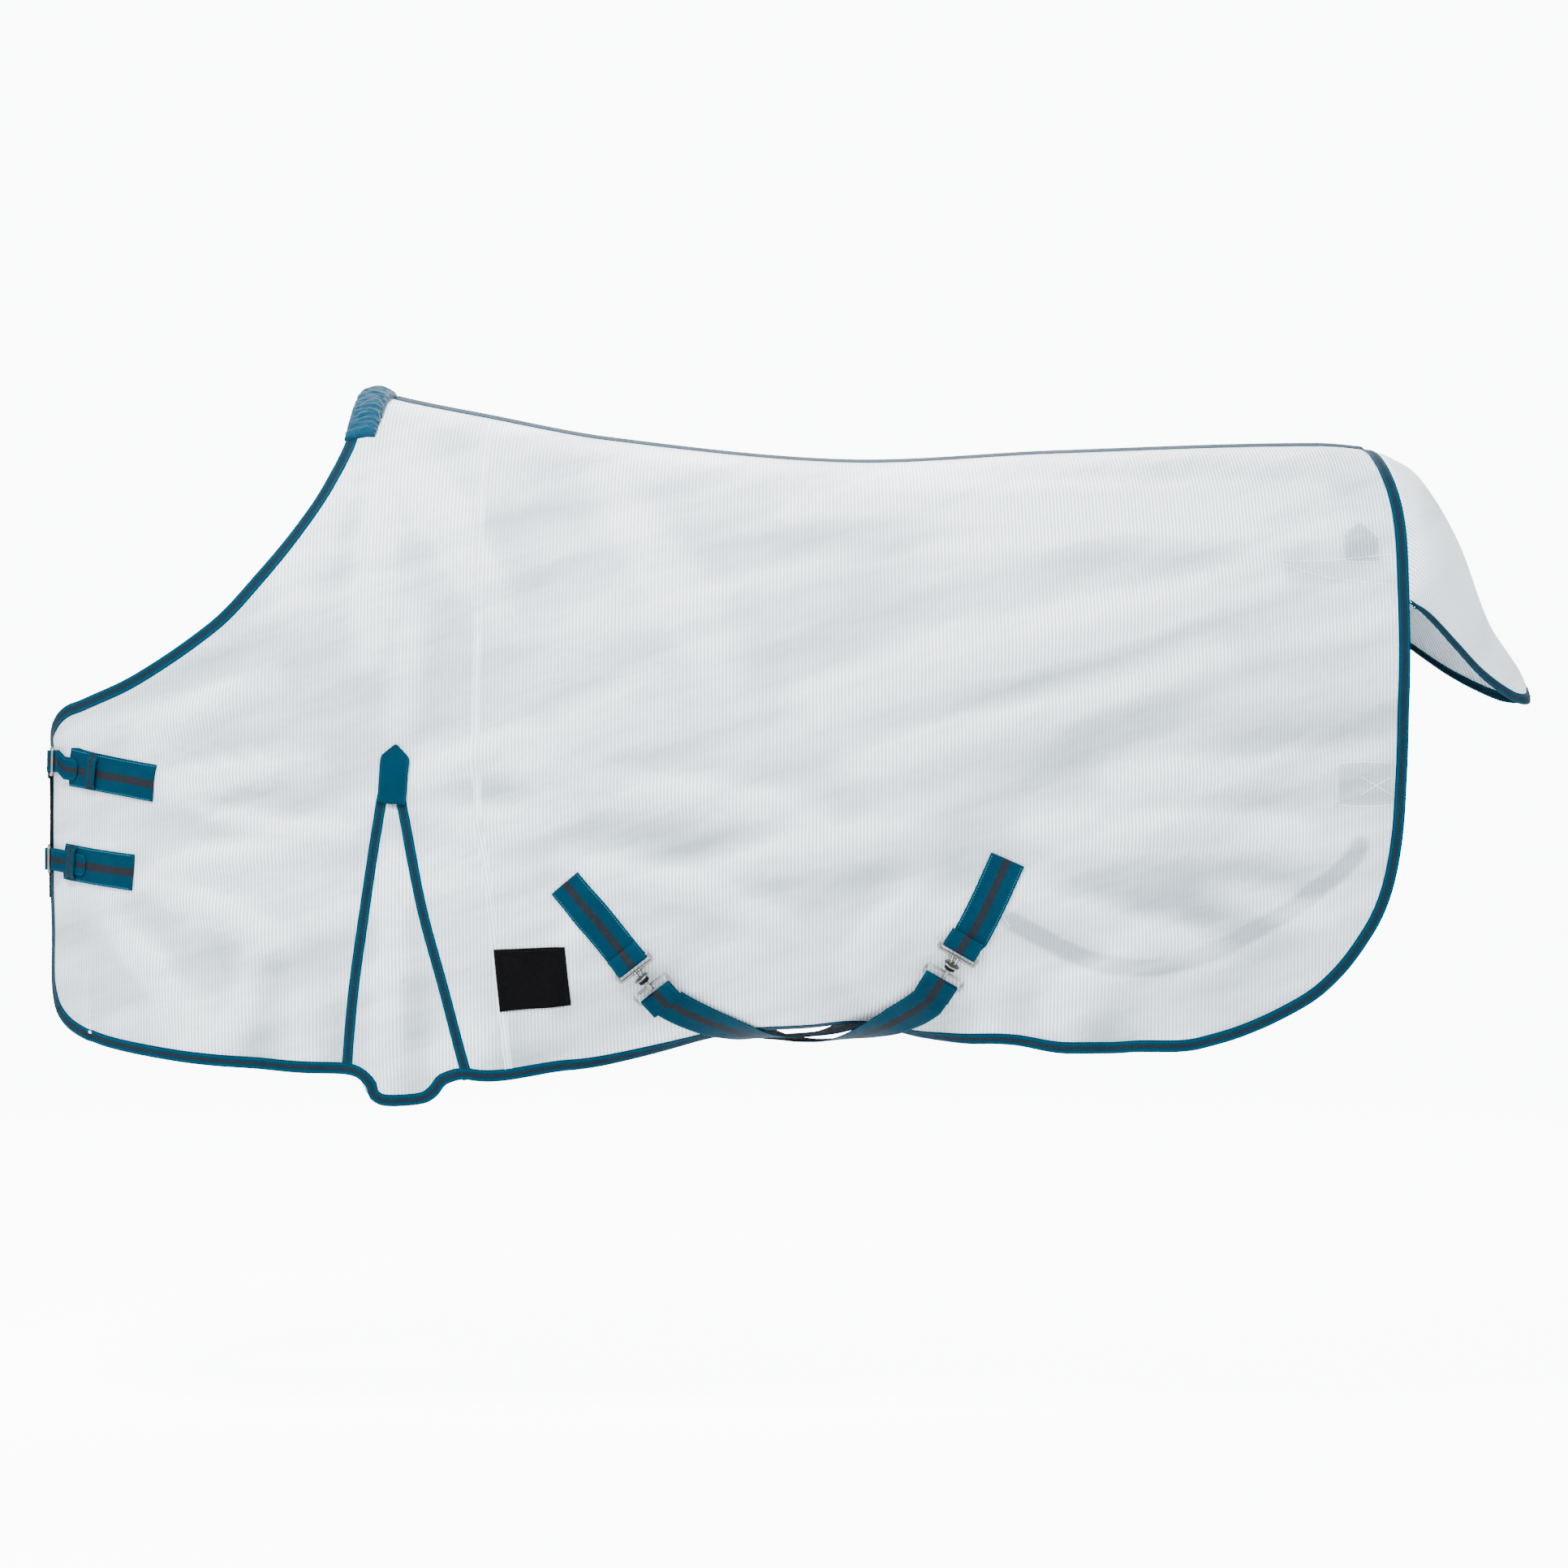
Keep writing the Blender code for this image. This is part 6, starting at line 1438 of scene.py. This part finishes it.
def build_stage(props):
    """A pale floor that sweeps up into a round wall, soft lamps and the camera."""
    backdrop = bpy.data.materials.new("backdrop")
    backdrop.use_nodes = True
    shader = backdrop.node_tree.nodes["Principled BSDF"]
    shader.inputs["Base Color"].default_value = (0.90, 0.90, 0.90, 1)
    shader.inputs["Roughness"].default_value = 0.9
    shader.inputs["Emission Color"].default_value = (0.94, 0.97, 1.0, 1)
    wire = Wiring(backdrop.node_tree)
    seen = wire.add("ShaderNodeLightPath").outputs["Is Camera Ray"]
    strength = wire.math("MULTIPLY_ADD", seen, props.backdrop_glow, props.fill_light)
    backdrop.node_tree.links.new(strength, shader.inputs["Emission Strength"])
    profile = [(0.01, FLOOR), (FLAT_RADIUS, FLOOR)]
    profile += [(FLAT_RADIUS + SWEEP * math.sin(a), FLOOR + SWEEP - SWEEP * math.cos(a))
                for a in np.radians(range(6, 91, 6))]
    profile += [(FLAT_RADIUS + SWEEP, WALL_TOP)]
    turns = np.linspace(0, 2 * math.pi, BOWL_SIDES + 1)[:-1]
    bm = bmesh.new()
    rows = [[bm.verts.new((0.6 + r * math.cos(a), r * math.sin(a), z)) for a in turns]
            for r, z in profile]
    for lower, upper in zip(rows, rows[1:]):
        for k in range(BOWL_SIDES):
            bm.faces.new((lower[k - 1], lower[k], upper[k], upper[k - 1])).smooth = True
    bm.faces.new(rows[0])
    bmesh.ops.recalc_face_normals(bm, faces=bm.faces)
    mesh = bpy.data.meshes.new("backdrop")
    bm.to_mesh(mesh)
    bm.free()
    mesh.materials.append(backdrop)
    made = bpy.data.objects.new("backdrop", mesh)
    bpy.context.scene.collection.objects.link(made)
    world = bpy.data.worlds.new("studio")
    bpy.context.scene.world = world
    world.use_nodes = True
    world.node_tree.nodes["Background"].inputs[0].default_value = (0.93, 0.96, 1.0, 1)
    world.node_tree.nodes["Background"].inputs[1].default_value = 1.0
    for name, spot, size, power in (("key", (-0.7, -2.4, 3.0), 1.1, props.key_light),
                                    ("side", (4.0, -3.2, 0.8), 2.2, props.key_light * 0.10),
                                    ("low", (0.6, -4.2, -1.2), 2.4, props.key_light * 0.04),
                                    ("rim", (0.8, 2.4, 2.6), 2.4, props.key_light * 0.45)):
        light = bpy.data.lights.new(name, "AREA")
        light.size, light.energy = size, power
        lamp = bpy.data.objects.new(name, light)
        lamp.location = spot
        aim = Vector((0.6, 0, -0.5)) - Vector(spot)
        lamp.rotation_euler = aim.to_track_quat("-Z", "Y").to_euler()
        bpy.context.scene.collection.objects.link(lamp)
    view = bpy.data.cameras.new("view")
    view.lens, view.sensor_width = 69.86, 36
    camera = bpy.data.objects.new("view", view)
    camera.location = (0.601, -4.5, -0.569)
    camera.rotation_euler = (math.pi / 2, 0, 0)
    bpy.context.scene.collection.objects.link(camera)
    bpy.context.scene.camera = camera


# ---- Add-on -------------------------------------------------------------------------------------


class FlySheetSettings(bpy.types.PropertyGroup):
    rib_pitch: FloatProperty(
        name="Rib pitch", description="Distance from rib to rib in the mesh", default=0.005,
        min=0.002, max=0.02, unit="LENGTH")
    see_through: FloatProperty(
        name="Light through the mesh", description="Share of the light that the threads pass on",
        default=0.14, min=0, max=1, subtype="FACTOR")
    mesh_colour: FloatVectorProperty(
        name="Mesh", description="Colour of the mesh's ribs", subtype="COLOR",
        default=(0.84, 0.93, 1.0), min=0, max=1)
    teal: FloatVectorProperty(
        name="Tape", description="Colour of the tapes and webbing", subtype="COLOR",
        default=(0.0, 0.0135, 0.026), min=0, max=1)
    cloth_rows: bpy.props.IntProperty(
        name="Rows of cloth", description="Rows of faces from the spine to the hem",
        default=190, min=40, max=300)
    key_light: FloatProperty(
        name="Key light", description="Power of the main lamp", default=760.0, min=0,
        unit="POWER")
    fill_light: FloatProperty(
        name="Fill light", description="Light that the backdrop gives off", default=0.50, min=0)
    backdrop_glow: FloatProperty(
        name="Backdrop glow", description="How much whiter the backdrop looks than it shines",
        default=8.0, min=0)


class Step:
    """What every operator here shares: it runs its build function and passes errors on."""

    bl_options = {"REGISTER"}

    def execute(self, context):
        type(self).build(context.scene.fly_sheet)
        return {"FINISHED"}


class FLYSHEET_OT_looks(Step, bpy.types.Operator):
    """Make the materials"""
    bl_idname, bl_label, build = "flysheet.looks", "Materials", staticmethod(make_looks)


class FLYSHEET_OT_cloth(Step, bpy.types.Operator):
    """Cut the mesh panels and gussets"""
    bl_idname, bl_label, build = "flysheet.cloth", "Cloth", staticmethod(build_cloth)


class FLYSHEET_OT_tapes(Step, bpy.types.Operator):
    """Bind the edges, gussets and spine"""
    bl_idname, bl_label, build = "flysheet.tapes", "Tapes", staticmethod(build_tapes)


class FLYSHEET_OT_pad(Step, bpy.types.Operator):
    """Make the fleece pad over the withers"""
    bl_idname, bl_label, build = "flysheet.pad", "Withers pad", staticmethod(build_pad)


class FLYSHEET_OT_chest(Step, bpy.types.Operator):
    """Make the chest straps and their buckles"""
    bl_idname, bl_label, build = "flysheet.chest", "Chest straps", staticmethod(build_chest)


class FLYSHEET_OT_surcingles(Step, bpy.types.Operator):
    """Make the surcingles, their hook clips and the belly straps"""
    bl_idname, bl_label, build = "flysheet.surcingles", "Surcingles", staticmethod(build_surcingles)


class FLYSHEET_OT_legs(Step, bpy.types.Operator):
    """Make the leg straps inside the cloth"""
    bl_idname, bl_label, build = "flysheet.legs", "Leg straps", staticmethod(build_legs)


class FLYSHEET_OT_flap(Step, bpy.types.Operator):
    """Make the tail flap"""
    bl_idname, bl_label, build = "flysheet.flap", "Tail flap", staticmethod(build_flap)


class FLYSHEET_OT_patches(Step, bpy.types.Operator):
    """Sew on the patches, the label and their stitches"""
    bl_idname, bl_label, build = "flysheet.patches", "Patches", staticmethod(build_patches)


class FLYSHEET_OT_metal(Step, bpy.types.Operator):
    """Give the small fittings their metal and rubber"""
    bl_idname, bl_label, build = "flysheet.metal", "Fittings", staticmethod(build_metal)


class FLYSHEET_OT_stage(Step, bpy.types.Operator):
    """Set the backdrop, the lights and the camera"""
    bl_idname, bl_label, build = "flysheet.stage", "Stage", staticmethod(build_stage)


STEPS = (FLYSHEET_OT_looks, FLYSHEET_OT_stage, FLYSHEET_OT_cloth, FLYSHEET_OT_tapes,
         FLYSHEET_OT_pad, FLYSHEET_OT_chest, FLYSHEET_OT_surcingles, FLYSHEET_OT_legs,
         FLYSHEET_OT_flap, FLYSHEET_OT_patches, FLYSHEET_OT_metal)


class FLYSHEET_PT_panel(bpy.types.Panel):
    """The sheet's settings and the operators that build it"""
    bl_idname, bl_label = "FLYSHEET_PT_panel", "Fly sheet"
    bl_space_type, bl_region_type, bl_category = "VIEW_3D", "UI", "Fly Sheet"

    def draw(self, context):
        for name in FlySheetSettings.__annotations__:
            self.layout.prop(context.scene.fly_sheet, name)
        for step in STEPS:
            self.layout.operator(step.bl_idname)


def register():
    for kind in (FlySheetSettings, *STEPS, FLYSHEET_PT_panel):
        bpy.utils.register_class(kind)
    bpy.types.Scene.fly_sheet = PointerProperty(type=FlySheetSettings)


def unregister():
    del bpy.types.Scene.fly_sheet
    for kind in (FLYSHEET_PT_panel, *reversed(STEPS), FlySheetSettings):
        bpy.utils.unregister_class(kind)


def main():
    register()
    for step in STEPS:
        group, name = step.bl_idname.split(".")
        getattr(getattr(bpy.ops, group), name)()
    bpy.context.view_layer.update()


if __name__ == "__main__":
    main()
